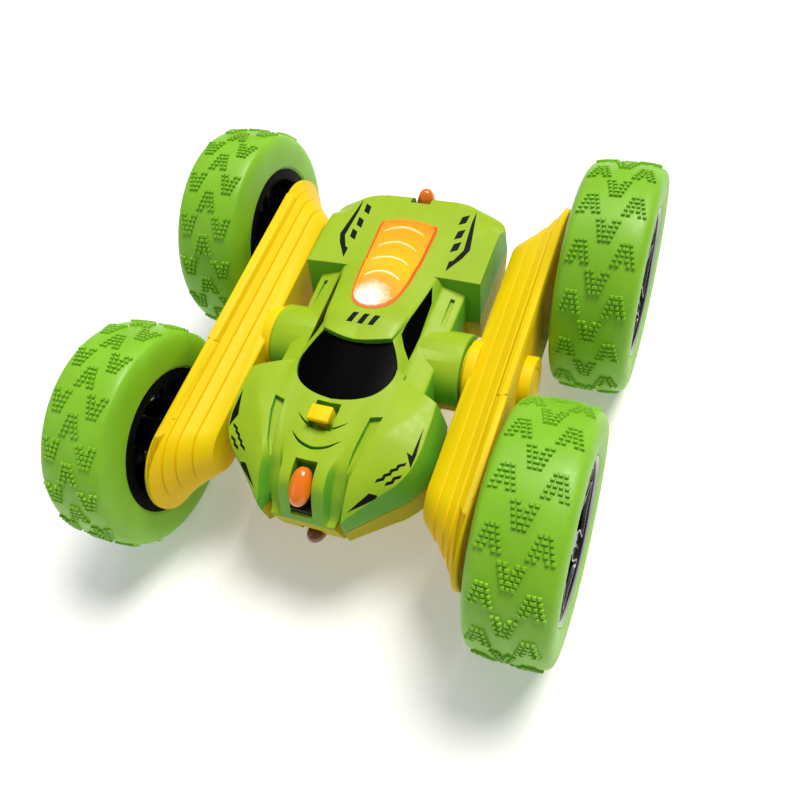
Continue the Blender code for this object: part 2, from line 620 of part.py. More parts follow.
build_chassis()
for side_name, side in SIDES.items():
    build_housing(side_name, side)
    build_cover(side_name, side)
    build_drive(side_name, side)
    for end_name, end in ENDS.items():
        build_wheel(side_name, side, end_name, end)
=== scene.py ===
"""The looks of the stunt car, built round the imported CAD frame.

Every shape is written in millimetres in the car's own frame: nose along -Y, +Z up, floor at
z = 0. Wheel, arm and boss places come from the frame's own boxes.
"""
import json
from math import copysign, cos, hypot, pi, radians, sin

import bmesh
import bpy
import numpy as np
from mathutils import Matrix, Vector
from mathutils.bvhtree import BVHTree


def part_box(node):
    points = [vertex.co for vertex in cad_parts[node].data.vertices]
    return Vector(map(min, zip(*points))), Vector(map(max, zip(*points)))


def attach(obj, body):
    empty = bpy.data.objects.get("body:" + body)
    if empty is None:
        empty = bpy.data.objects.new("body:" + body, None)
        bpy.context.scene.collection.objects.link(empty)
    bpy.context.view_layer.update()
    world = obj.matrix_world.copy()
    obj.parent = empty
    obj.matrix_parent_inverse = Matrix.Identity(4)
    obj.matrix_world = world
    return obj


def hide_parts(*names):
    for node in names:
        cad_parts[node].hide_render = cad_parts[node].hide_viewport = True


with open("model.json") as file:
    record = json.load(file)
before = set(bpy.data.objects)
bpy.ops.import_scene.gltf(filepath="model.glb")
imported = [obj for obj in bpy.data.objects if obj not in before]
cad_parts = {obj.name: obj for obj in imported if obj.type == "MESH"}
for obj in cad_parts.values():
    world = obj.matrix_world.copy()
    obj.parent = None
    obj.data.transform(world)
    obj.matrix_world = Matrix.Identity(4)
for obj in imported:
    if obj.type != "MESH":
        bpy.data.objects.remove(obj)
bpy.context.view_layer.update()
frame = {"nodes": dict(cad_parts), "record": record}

MM = 0.001
SIDES = {"left": -1, "right": 1}
ENDS = {"front": -1, "rear": 1}


def size_of(node):
    """A CAD node's lowest and highest corners in millimetres."""
    low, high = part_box(node)
    return low / MM, high / MM


def middle_of(node):
    low, high = size_of(node)
    return (low + high) / 2


def span_of(node, axis):
    low, high = size_of(node)
    return high[axis] - low[axis]


WHEEL = middle_of("front_right_tyre")
WHEEL_X, AXLE_Y, AXLE_Z = WHEEL.x, -WHEEL.y, WHEEL.z
TYRE_RADIUS = span_of("front_right_tyre", 2) / 2
TYRE_HALF = span_of("front_right_tyre", 0) / 2
RIM_RADIUS = span_of("front_right_rim", 2) / 2
SPLIT = 0.15                    # half of the gap between the two body shells
BELLY_Z = size_of("lower_shell")[0].z


# ---- materials
MIX_SHARE, MIX_FIRST, MIX_SECOND, MIX_RESULT = 0, 6, 7, 2   # sockets of a Mix node for colours


def nodes_of(name):
    material = bpy.data.materials.new(name)
    material.use_nodes = True
    tree = material.node_tree
    return material, tree, tree.nodes["Principled BSDF"]


def link(out_node, out_name, in_node, in_name):
    out_node.id_data.links.new(out_node.outputs[out_name], in_node.inputs[in_name])


def set_sockets(node, **values):
    """Set some of a node's sockets; an underscore stands for a space in their names."""
    for socket, value in values.items():
        node.inputs[socket.replace("_", " ")].default_value = value


def add(tree, kind, **values):
    node = tree.nodes.new("ShaderNode" + kind)
    set_sockets(node, **values)
    return node


def coordinates(tree, kind):
    """The object's own coordinates of one kind, split into X, Y and Z."""
    parts = add(tree, "SeparateXYZ")
    link(add(tree, "TexCoord"), kind, parts, "Vector")
    return parts


def noise(tree, scale, detail=3.0, roughness=0.55, stretch=None):
    """Noise in the object's own metres, so it keeps one size on every piece."""
    source, out_name = add(tree, "TexCoord"), "Object"
    if stretch:
        mapping = add(tree, "Mapping", Scale=stretch)
        link(source, out_name, mapping, "Vector")
        source, out_name = mapping, "Vector"
    texture = add(tree, "TexNoise", Scale=scale, Detail=detail, Roughness=roughness)
    link(source, out_name, texture, "Vector")
    return texture


def ramp(tree, source, stops, out_name="Fac"):
    node = add(tree, "ValToRGB")
    elements = node.color_ramp.elements
    while len(elements) < len(stops):
        elements.new(0.5)
    for element, (position, colour) in zip(elements, stops):
        element.position = position
        element.color = (*colour, 1.0)
    link(source, out_name, node, "Fac")
    return node


def mapped(tree, source, out_name, limits, results=(0.0, 1.0)):
    """Carry a value from between two limits over to between two results."""
    node = add(tree, "MapRange", From_Min=limits[0], From_Max=limits[1])
    set_sockets(node, To_Min=results[0], To_Max=results[1])
    link(source, out_name, node, "Value")
    return node


def uneven_gloss(tree, shader, texture, low, high):
    link(mapped(tree, texture, "Fac", (0.3, 0.7), (low, high)), "Result", shader, "Roughness")


def marbled(tree, flow, colour, shade):
    """A colour that the flow marks make a little darker and lighter."""
    dark, light = (tuple(min(1.0, c * factor) for c in colour) for factor in (1 - shade, 1 + shade))
    return ramp(tree, flow, ((0.25, dark), (0.75, light)))


def moulded(name, colour, roughness=0.34, shade=0.07, grain=1400.0, grain_depth=0.00001,
            edge_radius=0.0, coat=0.0, side=None, metallic=0.0, specular=0.5):
    """Moulded plastic: faint flow marks in the colour, a fine surface grain, uneven gloss.

    With a side colour, light and shade are painted into the colour: faces that look upwards take the main
    colour as the lit plastic, and the others take the side colour as painted shade.
    """
    material, tree, shader = nodes_of(name)
    flow = noise(tree, 90.0, 4.0, 0.6, (1.0, 0.45, 1.0))
    skin = marbled(tree, flow, colour, shade)
    # painted light and shade: the colour runs from the side colour, painted shade on faces that look
    # sideways or down, to the main colour, painted light on faces that look up
    if side:
        mix = add(tree, "Mix")
        mix.data_type = "RGBA"
        upwards = mapped(tree, coordinates(tree, "Normal"), "Z", (0.25, 0.85))
        link(upwards, "Result", mix, MIX_SHARE)
        link(marbled(tree, flow, side, shade), "Color", mix, MIX_FIRST)
        link(skin, "Color", mix, MIX_SECOND)
        link(mix, MIX_RESULT, shader, "Base Color")
    else:
        link(skin, "Color", shader, "Base Color")
    uneven_gloss(tree, shader, noise(tree, 420.0, 5.0, 0.7), roughness * 0.8, roughness * 1.25)
    bump = add(tree, "Bump", Strength=0.35, Distance=grain_depth)
    link(noise(tree, grain, 2.0), "Fac", bump, "Height")
    if edge_radius:
        bevel = add(tree, "Bevel", Radius=edge_radius * MM)
        bevel.samples = 4
        link(bevel, "Normal", bump, "Normal")
    link(bump, "Normal", shader, "Normal")
    set_sockets(shader, Metallic=metallic, Specular_IOR_Level=specular)
    set_sockets(shader, Coat_Weight=coat, Coat_Roughness=0.12)
    return material


def glowing(name, stops, centre_x, strength):
    """Translucent lens plastic that is brightest near its front end, as if lit from behind."""
    material, tree, shader = nodes_of(name)
    away = add(tree, "VectorMath")
    away.operation = "DISTANCE"
    away.inputs[1].default_value = Vector((centre_x, 7.5, 53.5)) * MM
    link(add(tree, "TexCoord"), "Object", away, 0)
    haze = add(tree, "Math")
    haze.operation = "MULTIPLY_ADD"
    haze.inputs[1].default_value = 0.12
    link(noise(tree, 500.0), "Fac", haze, 0)
    link(mapped(tree, away, "Value", (0.0, 42.0 * MM)), "Result", haze, 2)
    colours = ramp(tree, haze, stops, "Value")
    link(colours, "Color", shader, "Base Color")
    link(colours, "Color", shader, "Emission Color")
    uneven_gloss(tree, shader, noise(tree, 800.0), 0.084, 0.18)
    set_sockets(shader, Emission_Strength=strength, Coat_Weight=0.6, Coat_Roughness=0.05)
    return material


def rim_black():
    """Black wheel plastic: glossy on the face that looks outwards, matt inside the barrel."""
    material = moulded("gloss_black", (0.005, 0.005, 0.006), 0.24, 0.25, edge_radius=0.25)
    tree = material.node_tree
    gloss = mapped(tree, coordinates(tree, "Object"), "X", (1.0 * MM, 4.0 * MM), (0.02, 0.55))
    link(gloss, "Result", tree.nodes["Principled BSDF"], "Specular IOR Level")
    return material


# The main colour is the lime plastic with painted light from above; the side colour is the same plastic
# with painted shade.
GREEN = moulded("lime_plastic", (0.36, 0.55, 0.018), 0.42, 0.07, edge_radius=0.35, specular=0.3,
                side=(0.13, 0.45, 0.03))
# The main colour is the yellow plastic with painted light from above; the side colour is the same plastic,
# more orange, with painted shade.
YELLOW = moulded("yellow_plastic", (0.98, 0.69, 0.001), 0.46, 0.04, edge_radius=0.3, specular=0.2,
                 side=(0.93, 0.60, 0.001))
# The lower shell's yellow plastic, darkened and tinted towards olive as painted shade and a painted green
# reflection under the upper shell; its side colour adds more painted shade.
LOWER_YELLOW_PAINTED_SHADE = moulded("lower_yellow_painted_shade", (0.70, 0.55, 0.003), 0.5, 0.06, edge_radius=0.3,
                       specular=0.12, side=(0.50, 0.45, 0.004))
TYRE = moulded("green_rubber", (0.245, 0.57, 0.02), 0.42, 0.1, grain=2600.0, grain_depth=0.00002,
               specular=0.45)
GLASS = moulded("black_glazing", (0.001, 0.001, 0.001), 0.3, 0.3, grain_depth=0.000002, specular=0.02)
RIM = rim_black()
DECAL = moulded("black_print", (0.004, 0.005, 0.004), 0.5, 0.3, specular=0.15)
CHROME = moulded("chrome_trim", (0.30, 0.30, 0.32), 0.26, 0.12, metallic=1.0)
STEEL = moulded("brushed_steel", (0.5, 0.5, 0.52), 0.3, 0.1, metallic=1.0)
NYLON = moulded("gear_nylon", (0.78, 0.77, 0.7), 0.45, 0.05)
BOARD = moulded("board_laminate", (0.01, 0.12, 0.04), 0.4, 0.3)
WRAP = moulded("battery_wrap", (0.02, 0.1, 0.42), 0.25, 0.1)
GREY = moulded("switch_grey", (0.12, 0.12, 0.13), 0.4, 0.1)
ORANGE = moulded("orange_lamp", (1.0, 0.19, 0.004), 0.13, 0.12, coat=0.7, grain_depth=0.000002)
# The belly lamp's orange lens, darkened as painted shade because it sits in the shadow under the nose.
ORANGE_PAINTED_SHADE = moulded("orange_lamp_painted_shade", (0.22, 0.075, 0.004), 0.16, 0.12, coat=0.5, grain_depth=0.000002)


# ---- mesh helpers
def put(name, data):
    """A new object in the scene."""
    item = bpy.data.objects.new(name, data)
    bpy.context.scene.collection.objects.link(item)
    return item


def new_object(name, mesh, smooth=35):
    """Turn a bmesh in millimetres into an object in metres."""
    bmesh.ops.recalc_face_normals(mesh, faces=mesh.faces)
    bmesh.ops.scale(mesh, vec=(MM, MM, MM), verts=mesh.verts)
    data = bpy.data.meshes.new(name)
    mesh.to_mesh(data)
    mesh.free()
    return shade(put(name, data), smooth)


def shade(item, degrees):
    """Shade an object smooth, apart from edges sharper than the given angle."""
    item.data.shade_smooth()
    item.data.set_sharp_from_angle(angle=radians(degrees))
    return item


def settle(item):
    """Apply every modifier of an object."""
    graph = bpy.context.evaluated_depsgraph_get()
    done = bpy.data.meshes.new_from_object(item.evaluated_get(graph), depsgraph=graph)
    old = item.data
    item.modifiers.clear()
    item.data = done
    bpy.data.meshes.remove(old)
    return shade(item, 35)


def rounded(item, width, segments, angle):
    """Round every edge sharper than the given angle, of an object or of a new shape."""
    if isinstance(item, bmesh.types.BMesh):
        item = new_object("shape", item)
    step = item.modifiers.new("edges", "BEVEL")
    step.width = width * MM
    step.segments = segments
    step.limit_method = "ANGLE"
    step.angle_limit = radians(angle)
    return settle(item)


def combine(target, tool, operation):
    if isinstance(tool, bmesh.types.BMesh):
        tool = new_object("tool", tool)
    step = target.modifiers.new("combine", "BOOLEAN")
    step.operation = operation
    step.object = tool
    step.solver = "MANIFOLD"
    settle(target)
    data = tool.data
    bpy.data.objects.remove(tool)
    bpy.data.meshes.remove(data)
    return target


def cut(target, *tools):
    for tool in tools:
        combine(target, tool, "DIFFERENCE")


def join(target, *tools):
    for tool in tools:
        combine(target, tool, "UNION")


def loft(rings, mesh=None, closed=False):
    """A skin over rings of points; the ends are capped, or met when closed is set."""
    mesh = mesh or bmesh.new()
    loops = [[mesh.verts.new(point) for point in ring] for ring in rings]
    pairs = list(zip(loops, loops[1:]))
    if closed:
        pairs.append((loops[-1], loops[0]))
    for first, second in pairs:
        for i in range(len(first)):
            j = (i + 1) % len(first)
            mesh.faces.new((first[i], first[j], second[j], second[i]))
    if not closed:
        mesh.faces.new(loops[0])
        mesh.faces.new(loops[-1])
    return mesh


def arc(radius, start, stop, count, centre=(0.0, 0.0)):
    """Points along an arc, in degrees."""
    angles = [radians(start + (stop - start) * i / (count - 1)) for i in range(count)]
    return [(centre[0] + radius * cos(a), centre[1] + radius * sin(a)) for a in angles]


def circle(radius, count, centre=(0.0, 0.0)):
    return arc(radius, 0, 360 * (1 - 1 / count), count, centre)


def rod(axis, radius, start, end, a=0.0, b=0.0, count=32, mesh=None):
    """A cylinder along x, y or z; a and b place it on the other two axes, in order."""
    return prism(circle(radius, count, (a, b)), start, end, axis, mesh)


def place(axis, along, point):
    return {"x": (along, *point), "y": (point[0], along, point[1]), "z": (*point, along)}[axis]


def box(x0, x1, y0, y1, z0, z1):
    return prism([(x0, y0), (x1, y0), (x1, y1), (x0, y1)], z0, z1)


def prism(outline, start, end, axis="z", mesh=None):
    return loft([[place(axis, s, p) for p in outline] for s in (start, end)], mesh)


def turned(profile, count, mesh=None, side=1, z=0.0):
    """Turn a closed profile of (x, radius) points round an axis along X at height z."""
    rings = []
    for i in range(count):
        angle = 2 * pi * i / count
        rings.append([(side * x, r * cos(angle), z + r * sin(angle)) for x, r in profile])
    return loft(rings, mesh, closed=True)


def both_sides(outline):
    """A whole outline, from its half on the side x >= 0."""
    return outline + [(-x, y) for x, y in reversed(outline) if x > 0]


def smooth_line(points, per_span=6, closed=False):
    """Catmull-Rom curve through 2D or 3D points."""
    pts = [Vector(p) for p in points]
    count = len(pts)
    out = []
    spans = range(count) if closed else range(count - 1)
    for i in spans:
        p1, p2 = pts[i], pts[(i + 1) % count]
        p0 = pts[i - 1] if closed or i > 0 else p1 + (p1 - p2)
        p3 = pts[(i + 2) % count] if closed or i + 2 < count else p2 + (p2 - p1)
        for k in range(per_span):
            t = k / per_span
            out.append(0.5 * ((2 * p1) + (p2 - p0) * t + (2 * p0 - 5 * p1 + 4 * p2 - p3) * t * t
                              + (3 * p1 - p0 - 3 * p2 + p3) * t ** 3))
    if not closed:
        out.append(pts[-1])
    return [tuple(p) for p in out]


def eased(stations, step):
    """Resample (y, values) stations along y with slopes that never overshoot."""
    ys = np.array([y for y, _ in stations], float)
    vs = np.array([values for _, values in stations], float)
    flat = vs.reshape(len(ys), -1)
    slope = np.diff(flat, axis=0) / np.diff(ys)[:, None]
    tangent = np.zeros_like(flat)
    tangent[0], tangent[-1] = slope[0], slope[-1]
    same = np.sign(slope[:-1]) == np.sign(slope[1:])
    tangent[1:-1] = np.where(same, 2 * slope[:-1] * slope[1:] / np.where(
        np.abs(slope[:-1] + slope[1:]) < 1e-9, 1.0, slope[:-1] + slope[1:]), 0.0)
    out = []
    for i in range(len(ys) - 1):
        width = ys[i + 1] - ys[i]
        count = max(1, round(width / step))
        for k in range(count + (i == len(ys) - 2)):
            t = k / count
            h = (2 * t ** 3 - 3 * t ** 2 + 1, t ** 3 - 2 * t ** 2 + t,
                 3 * t ** 2 - 2 * t ** 3, t ** 3 - t ** 2)
            row = (h[0] * flat[i] + h[1] * width * tangent[i]
                   + h[2] * flat[i + 1] + h[3] * width * tangent[i + 1])
            out.append((ys[i] + width * t, row.reshape(vs.shape[1:])))
    return out


def section(keys, bulges):
    """Half a cross-section through key points, each span bowed outwards by its bulge."""
    points = []
    for a, b, bulge in zip(keys, keys[1:], bulges):
        a, b = Vector(a), Vector(b)
        way = b - a
        normal = Vector((-way.y, way.x)).normalized() if way.length > 1e-6 else Vector((0, 1))
        for t in (k / 6 for k in range(6)):
            points.append(tuple(a + way * t + normal * (bulge * 4 * t * (1 - t))))
    points.append(tuple(keys[-1]))
    return points


def body_loft(stations, bulges):
    """A closed loft over half-sections, mirrored to both sides of the car."""
    rings = []
    for y, keys in eased(stations, 1.0):
        half = section([tuple(k) for k in keys], bulges)
        right = [(x, y, z) for x, z in half]
        rings.append(right + [(-x, y, z) for x, z in reversed(half) if x > 1e-6])
    return loft(rings)


def finish_piece(item, material, replaces=(), body="chassis"):
    item.data.materials.clear()
    item.data.materials.append(material)
    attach(item, body)
    if replaces:
        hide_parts(*replaces)
    return item


# ---- body shells
TOP = AXLE_Z + SPLIT            # where the green shell starts
BOTTOM = AXLE_Z - SPLIT         # where the yellow shell ends
# y, then (x, z) of: middle, cheek edge, cheek foot, valley, fender crest, outer ridge, split line
FRONT = [
    (-58.6, [(0, 35.8), (6.6, 35.7), (7.4, 35.5), (11.4, 35.4), (12.7, 40.4), (12.9, 40.2), (13.1, TOP)]),
    (-57.6, [(0, 37.8), (6.7, 37.4), (7.6, 35.7), (11.5, 35.5), (12.8, 41.5), (13.8, 41.0), (14.1, TOP)]),
    (-56.4, [(0, 40.4), (6.8, 40.0), (7.8, 36.4), (11.4, 35.8), (12.9, 42.6), (14.9, 41.6), (15.3, TOP)]),
    (-54.6, [(0, 44.0), (6.9, 43.6), (8.0, 38.8), (11.5, 37.6), (13.0, 44.2), (16.5, 42.3), (17.1, TOP)]),
    (-52.6, [(0, 46.6), (6.9, 46.3), (8.1, 41.6), (11.5, 40.3), (13.1, 45.9), (18.4, 42.9), (19.2, TOP)]),
    (-49.0, [(0, 48.2), (6.9, 48.1), (8.2, 45.0), (11.5, 44.2), (13.3, 48.0), (22.0, 44.2), (23.0, TOP)]),
    (-45.5, [(0, 48.9), (7.6, 48.8), (8.8, 47.9), (11.8, 47.5), (14.2, 49.2), (25.6, 45.6), (26.7, TOP)]),
    (-40.0, [(0, 49.6), (8.4, 49.6), (10.0, 49.6), (13.4, 49.8), (16.8, 50.5), (28.4, 47.2), (30.0, TOP)]),
    (-34.0, [(0, 50.2), (9.0, 50.3), (11.5, 50.4), (15.4, 50.8), (19.8, 51.3), (29.3, 48.2), (31.6, TOP)]),
    (-27.0, [(0, 50.6), (10.0, 50.8), (12.0, 50.9), (16.4, 50.8), (23.6, 50.5), (29.3, 48.8), (31.2, TOP)]),
    (-20.0, [(0, 51.2), (10.0, 51.0), (12.8, 50.8), (17.0, 49.8), (26.2, 49.6), (28.9, 48.9), (30.3, TOP)]),
    (-13.0, [(0, 51.9), (10.0, 51.3), (12.8, 50.9), (17.0, 48.6), (26.4, 49.2), (28.7, 48.7), (29.6, TOP)]),
]
# y, then (x, z) of: middle, roof edge, sill, panel edge, split line
CABIN = [
    (-21.0, [(0, 50.6), (12.6, 50.2), (16.6, 48.6), (23.0, 45.4), (24.0, TOP)]),
    (-12.0, [(0, 51.6), (12.8, 50.6), (16.6, 47.6), (23.4, 44.6), (24.0, TOP)]),
    (-4.4, [(0, 52.2), (11.4, 51.6), (16.7, 47.0), (23.4, 44.4), (24.0, TOP)]),
    (1.6, [(0, 53.6), (12.2, 52.3), (16.8, 46.7), (23.6, 44.3), (24.0, TOP)]),
    (8.7, [(0, 53.2), (13.2, 51.1), (16.9, 46.6), (23.8, 44.3), (24.1, TOP)]),
    (16.0, [(0, 52.3), (14.3, 49.9), (17.0, 46.5), (24.0, 44.3), (24.2, TOP)]),
    (25.0, [(0, 51.4), (15.4, 49.0), (17.2, 46.5), (24.2, 44.3), (24.3, TOP)]),
]
# y, then (x, z) of: middle, deck crease, deck shoulder, outer edge, split line
DECK = [
    (18.5, [(0, 51.6), (14.8, 49.5), (21.0, 49.4), (28.7, 49.2), (28.7, TOP)]),
    (30.0, [(0, 50.8), (15.1, 49.4), (21.2, 49.3), (28.7, 49.0), (28.7, TOP)]),
    (44.0, [(0, 49.9), (15.0, 49.5), (21.2, 49.3), (28.7, 48.1), (28.8, TOP)]),
    (50.0, [(0, 49.5), (15.0, 49.5), (20.4, 49.4), (28.7, 44.4), (28.9, TOP)]),
    (52.6, [(0, 49.3), (14.0, 49.3), (18.9, 49.1), (26.4, 44.9), (26.9, TOP)]),
    (55.0, [(0, 48.9), (12.0, 48.8), (15.4, 48.3), (21.6, 44.8), (22.0, TOP)]),
    (56.9, [(0, 46.6), (10.6, 46.5), (13.0, 45.9), (17.0, 43.0), (17.6, TOP)]),
]
BOSS_RADIUS, BOSS_BORE = 11.8, 9.2
BOSS_INNER_X, BOSS_OUTER_X = 18.6, 30.5


def half_space(point, normal):
    """A big block on the far side of a plane, to trim a shape with."""
    mesh = box(-60, 60, -60, 60, 0, 60)
    turn = Vector((0, 0, 1)).rotation_difference(Vector(normal))
    bmesh.ops.transform(mesh, matrix=Matrix.Translation(point) @ turn.to_matrix().to_4x4(),
                        verts=mesh.verts)
    return mesh


def boss_collars(radius, x0, x1):
    mesh = bmesh.new()
    for side in SIDES.values():
        rod("x", radius, side * x0, side * x1, 0.0, AXLE_Z, 64, mesh)
    return mesh


def trim_flanks(part, z, tilt, floor):
    """Cut the fenders' rear corners along slanted planes, outboard of the cabin's sides."""
    for side in SIDES.values():
        trim = new_object("trim", half_space((side * 18.7, -15.4, z), Vector((side * 0.42, 0.9, tilt))))
        combine(trim, box(*sorted((side * 17.3, side * 45)), -40, 20, floor, 70), "INTERSECT")
        cut(part, trim)


def add_bosses(shell):
    """Join on the round bosses that the arms' trunnions pass through."""
    join(shell, rounded(boss_collars(BOSS_RADIUS, BOSS_INNER_X - 2, BOSS_OUTER_X), 0.6, 3, 40))


def green_front():
    part = new_object("nose", body_loft(FRONT, (0.25, 0, 0.15, 0.1, 0.12, 0.25)))
    trim_flanks(part, 46, 0.12, 10)
    return rounded(part, 0.45, 3, 32)


def green_cabin():
    part = new_object("cabin", body_loft(CABIN, (0.55, 0.15, 0.0, 0.2)))
    cut(part, half_space((0, -19.5, 50), (0, -1, 0)))
    return rounded(part, 0.5, 3, 24)


def brow_line(x):
    """Where the roof's front edge lies over the windshield, at a given x."""
    return -7.4 + 2.9 * (abs(x) / 10.9) ** 2


def roof_brow(surface):
    """The roof plate that stands proud of the windshield and fades out behind it."""
    front = [(x, brow_line(x) - 0.1) for x in (-10.8, -8.1, -5.4, -2.7, 0, 2.7, 5.4, 8.1, 10.8)]
    back = [(12.4, 0.5), (12.9, 4.0), (9.0, 8.5), (0, 10.5), (-9.0, 8.5), (-12.9, 4.0), (-12.4, 0.5)]

    def lift(x, y):
        behind = (y - brow_line(x)) / (16.5 - 5.0 * (x / 12.9) ** 2)
        edge = max(0.0, 1.0 - (abs(x) / 13.4) ** 6)
        return 1.5 * edge * max(0.0, 1.0 - behind) ** 1.4 - 0.05

    return patch("brow", front + back, surface, 0.0, 1.6, 1.0, lift)


def green_deck():
    part = new_object("deck", body_loft(DECK, (0.0, 0, 0.0, 0.0)))
    cut(part, half_space((0, 22.7, 49.2), Vector((0, -0.97, 0.24))))
    return rounded(part, 0.7, 3, 20)


# The right-hand scoop between hood and fender: (x, y, floor height) round its outline.
VENT = [(16.6, -29.4, 49.4), (13.2, -30.4, 49.2), (12.6, -35.6, 48.7), (11.9, -41.2, 48.2),
        (11.3, -48.3, 46.6), (13.6, -43.0, 48.2), (15.9, -34.4, 49.2)]


def vents():
    """Narrow scoops between hood and fenders, tapering forward to a point."""
    mesh = bmesh.new()
    for side in SIDES.values():
        loft([[(side * x, y, z) for x, y, z in VENT], [(side * x, y, 56.0) for x, y, z in VENT]], mesh)
    return mesh


def nose_notches(z0, z1):
    """Upright V-notches that part the snout from the two fender tips."""
    mesh = bmesh.new()
    for side in SIDES.values():
        prism([(side * 9.6, -61), (side * 13.3, -61), (side * 12.5, -56.8), (side * 11.2, -53.6),
               (side * 10.1, -56.8)], z0, z1, "z", mesh)
    return mesh


def arc_groove(y_mid, half_width, y_end, width, z0):
    """A curved slit across the hood, shaped like a shallow smile."""
    y_quarter = y_mid + (y_end - y_mid) * 0.28
    points = smooth_line([(-half_width, y_end), (-half_width * 0.55, y_quarter), (0, y_mid),
                          (half_width * 0.55, y_quarter), (half_width, y_end)], 6)
    halves = [width / 2 * (1 - (abs(x) / half_width) ** 4) for x, _ in points]
    outer = [(x, y - half) for (x, y), half in zip(points, halves)]
    inner = [(x, y + half) for (x, y), half in zip(points, halves)]
    return prism(outer + inner[-2:0:-1], z0, 56)


def build_green_shell():
    shell = green_cabin()
    join(shell, green_front(), green_deck())
    brow = rounded(roof_brow(surface_of(shell)), 0.18, 2, 40)
    add_bosses(shell)
    cut(shell, box(-40, 40, -70, 70, 0, TOP), boss_collars(BOSS_BORE, 15.0, BOSS_OUTER_X + 2))
    cut(shell, vents(), nose_notches(30, 60), prism(windshield_outline(), 48.4, 53.3))
    cut(shell, *[side_recess(side) for side in SIDES.values()])
    join(shell, brow)
    cut(shell, arc_groove(-42.6, 7.6, -38.9, 0.85, 47.4), arc_groove(-36.8, 7.8, -33.2, 0.75, 48.8))
    cut(shell, *[box(*room) for room in (KNOB_SLOT, NOSE_LAMP_SLOT, TAIL_LAMP_SLOT, *ROOMS_ABOVE)])
    shade(shell, 34)
    return finish_piece(rename(shell, "body_upper"), GREEN, ["upper_shell"])


# Slots through the shells and rooms inside them, each as x, y and z from and to
KNOB_SLOT = (-3.7, 3.7, -36.9, -28.2, 47.0, 60)
NOSE_LAMP_SLOT = (-3.35, 3.35, -70, -46.3, 37.2, 60)
TAIL_LAMP_SLOT = (-3.3, 3.3, 52.4, 70, 39.6, 60)
BELLY_LAMP_SLOT = (-3.4, 3.4, -70, -49.6, 10, 27.6)
BATTERY_BAY = (-11.3, 11.3, -27.3, 27.3, 10, 20.9)
ROOMS_ABOVE = [(-10, 10, -44, -22, 30, 46.2), (-14, 14, -23, 22, 30, 45.6),
               (-24, 24, 23.5, 47, 30, 46.2), (-24, 24, -38, -20, 30, 44.6)]
ROOMS_BELOW = [(-10, 10, -44, -22, 24, 40), (-14, 14, -23, 22, 22, 40), (-17, 17, 22, 48, 23, 40)]


def side_recess(side):
    """A slim slot in the side panel, deepest beside the deck and fading out forwards."""
    rings = []
    for y, depth in ((7.5, -0.05), (18.6, 1.2)):
        floor = [(x, float(np.interp(x, (16.9, 23.9), (46.5, 44.3))) - depth) for x in (20.5, 21.8)]
        rings.append([(side * x, y, z) for x, z in floor + [(21.8, 60), (20.5, 60)]])
    return loft(rings)


def rename(item, name):
    item.name = name
    item.data.name = name
    return item


def yellow_front():
    """The lower half of the nose, whose belly rises towards the front."""
    stations = []
    for y, keys in FRONT:
        width = keys[-1][0]
        rise = max(0.0, min(1.0, (-38 - y) / 20.6)) ** 1.3
        belly = BELLY_Z + 6.6 * rise
        stations.append((y, [(0, belly), (width * 0.62, belly), (width - 1.0, 23.9 + 4.4 * rise),
                             (width, BOTTOM)]))
    part = new_object("front", body_loft(stations, (0, 0.3, 0.1)))
    trim_flanks(part, 30, -0.1, 0)
    return rounded(part, 0.5, 3, 30)


def yellow_cabin():
    keys = [(0, BELLY_Z), (14.0, BELLY_Z), (23.2, 24.0), (24.0, BOTTOM)]
    return rounded(body_loft([(y, keys) for y in (-21, 25)], (0, 0, 0)), 0.5, 3, 24)


def yellow_deck():
    stations = []
    for y, keys in DECK:
        width = keys[-1][0]
        belly = BELLY_Z + 3.0 * max(0.0, (y - 48) / 9)
        stations.append((y, [(0, belly), (width * 0.66, belly), (width - 1.2, belly + 5), (width, BOTTOM)]))
    part = new_object("deck", body_loft(stations, (0, 0, 0)))
    cut(part, half_space((0, 22.7, 21.0), Vector((0, -0.97, -0.24))))
    return rounded(part, 0.6, 3, 22)


def belly_grooves():
    """Four slanted grooves on each side behind the battery door and four ahead of it."""
    mesh = bmesh.new()
    for side in SIDES.values():
        for k in range(4):
            y = 33.0 + 4.2 * k
            skew = [(side * 6.0, y), (side * 15.0, y - 2.6), (side * 15.0, y - 1.4), (side * 6.0, y + 1.2)]
            prism(skew, 10, BELLY_Z + 0.6, "z", mesh)
            y = -32.0 - 4.0 * k
            skew = [(side * 5.5, y), (side * 12.0, y + 2.0), (side * 12.0, y + 0.9), (side * 5.5, y - 1.1)]
            prism(skew, 10, BELLY_Z + 0.6 + 0.12 * k, "z", mesh)
    return mesh


def screw_wells():
    mesh = bmesh.new()
    for x, y in ((-21, -36), (21, -36), (-21, 40), (21, 40)):
        rod("z", 2.3, 10, 29, x, y, 24, mesh)
    return mesh


def chin_undercut():
    """The snout's yellow foot leans back under the belly lamp."""
    chin = new_object("chin", half_space((0, -58.6, 35.0), Vector((0, -0.98, -0.20))))
    return combine(chin, box(-10.9, 10.9, -70, -40, 0, 36), "INTERSECT")


def build_yellow_shell():
    """The lower shell: upright sides, a chamfered belly, and the same bosses."""
    shell = yellow_cabin()
    join(shell, yellow_front(), yellow_deck())
    add_bosses(shell)
    cut(shell, box(-40, 40, -70, 70, BOTTOM, 60), boss_collars(BOSS_BORE, 15.0, BOSS_OUTER_X + 2))
    cut(shell, box(*BATTERY_BAY), box(*BELLY_LAMP_SLOT), nose_notches(10, 40), chin_undercut())
    cut(shell, belly_grooves(), screw_wells(), *[box(*room) for room in ROOMS_BELOW])
    shade(shell, 34)
    return finish_piece(rename(shell, "body_lower"), LOWER_YELLOW_PAINTED_SHADE,
                        ["lower_shell"])


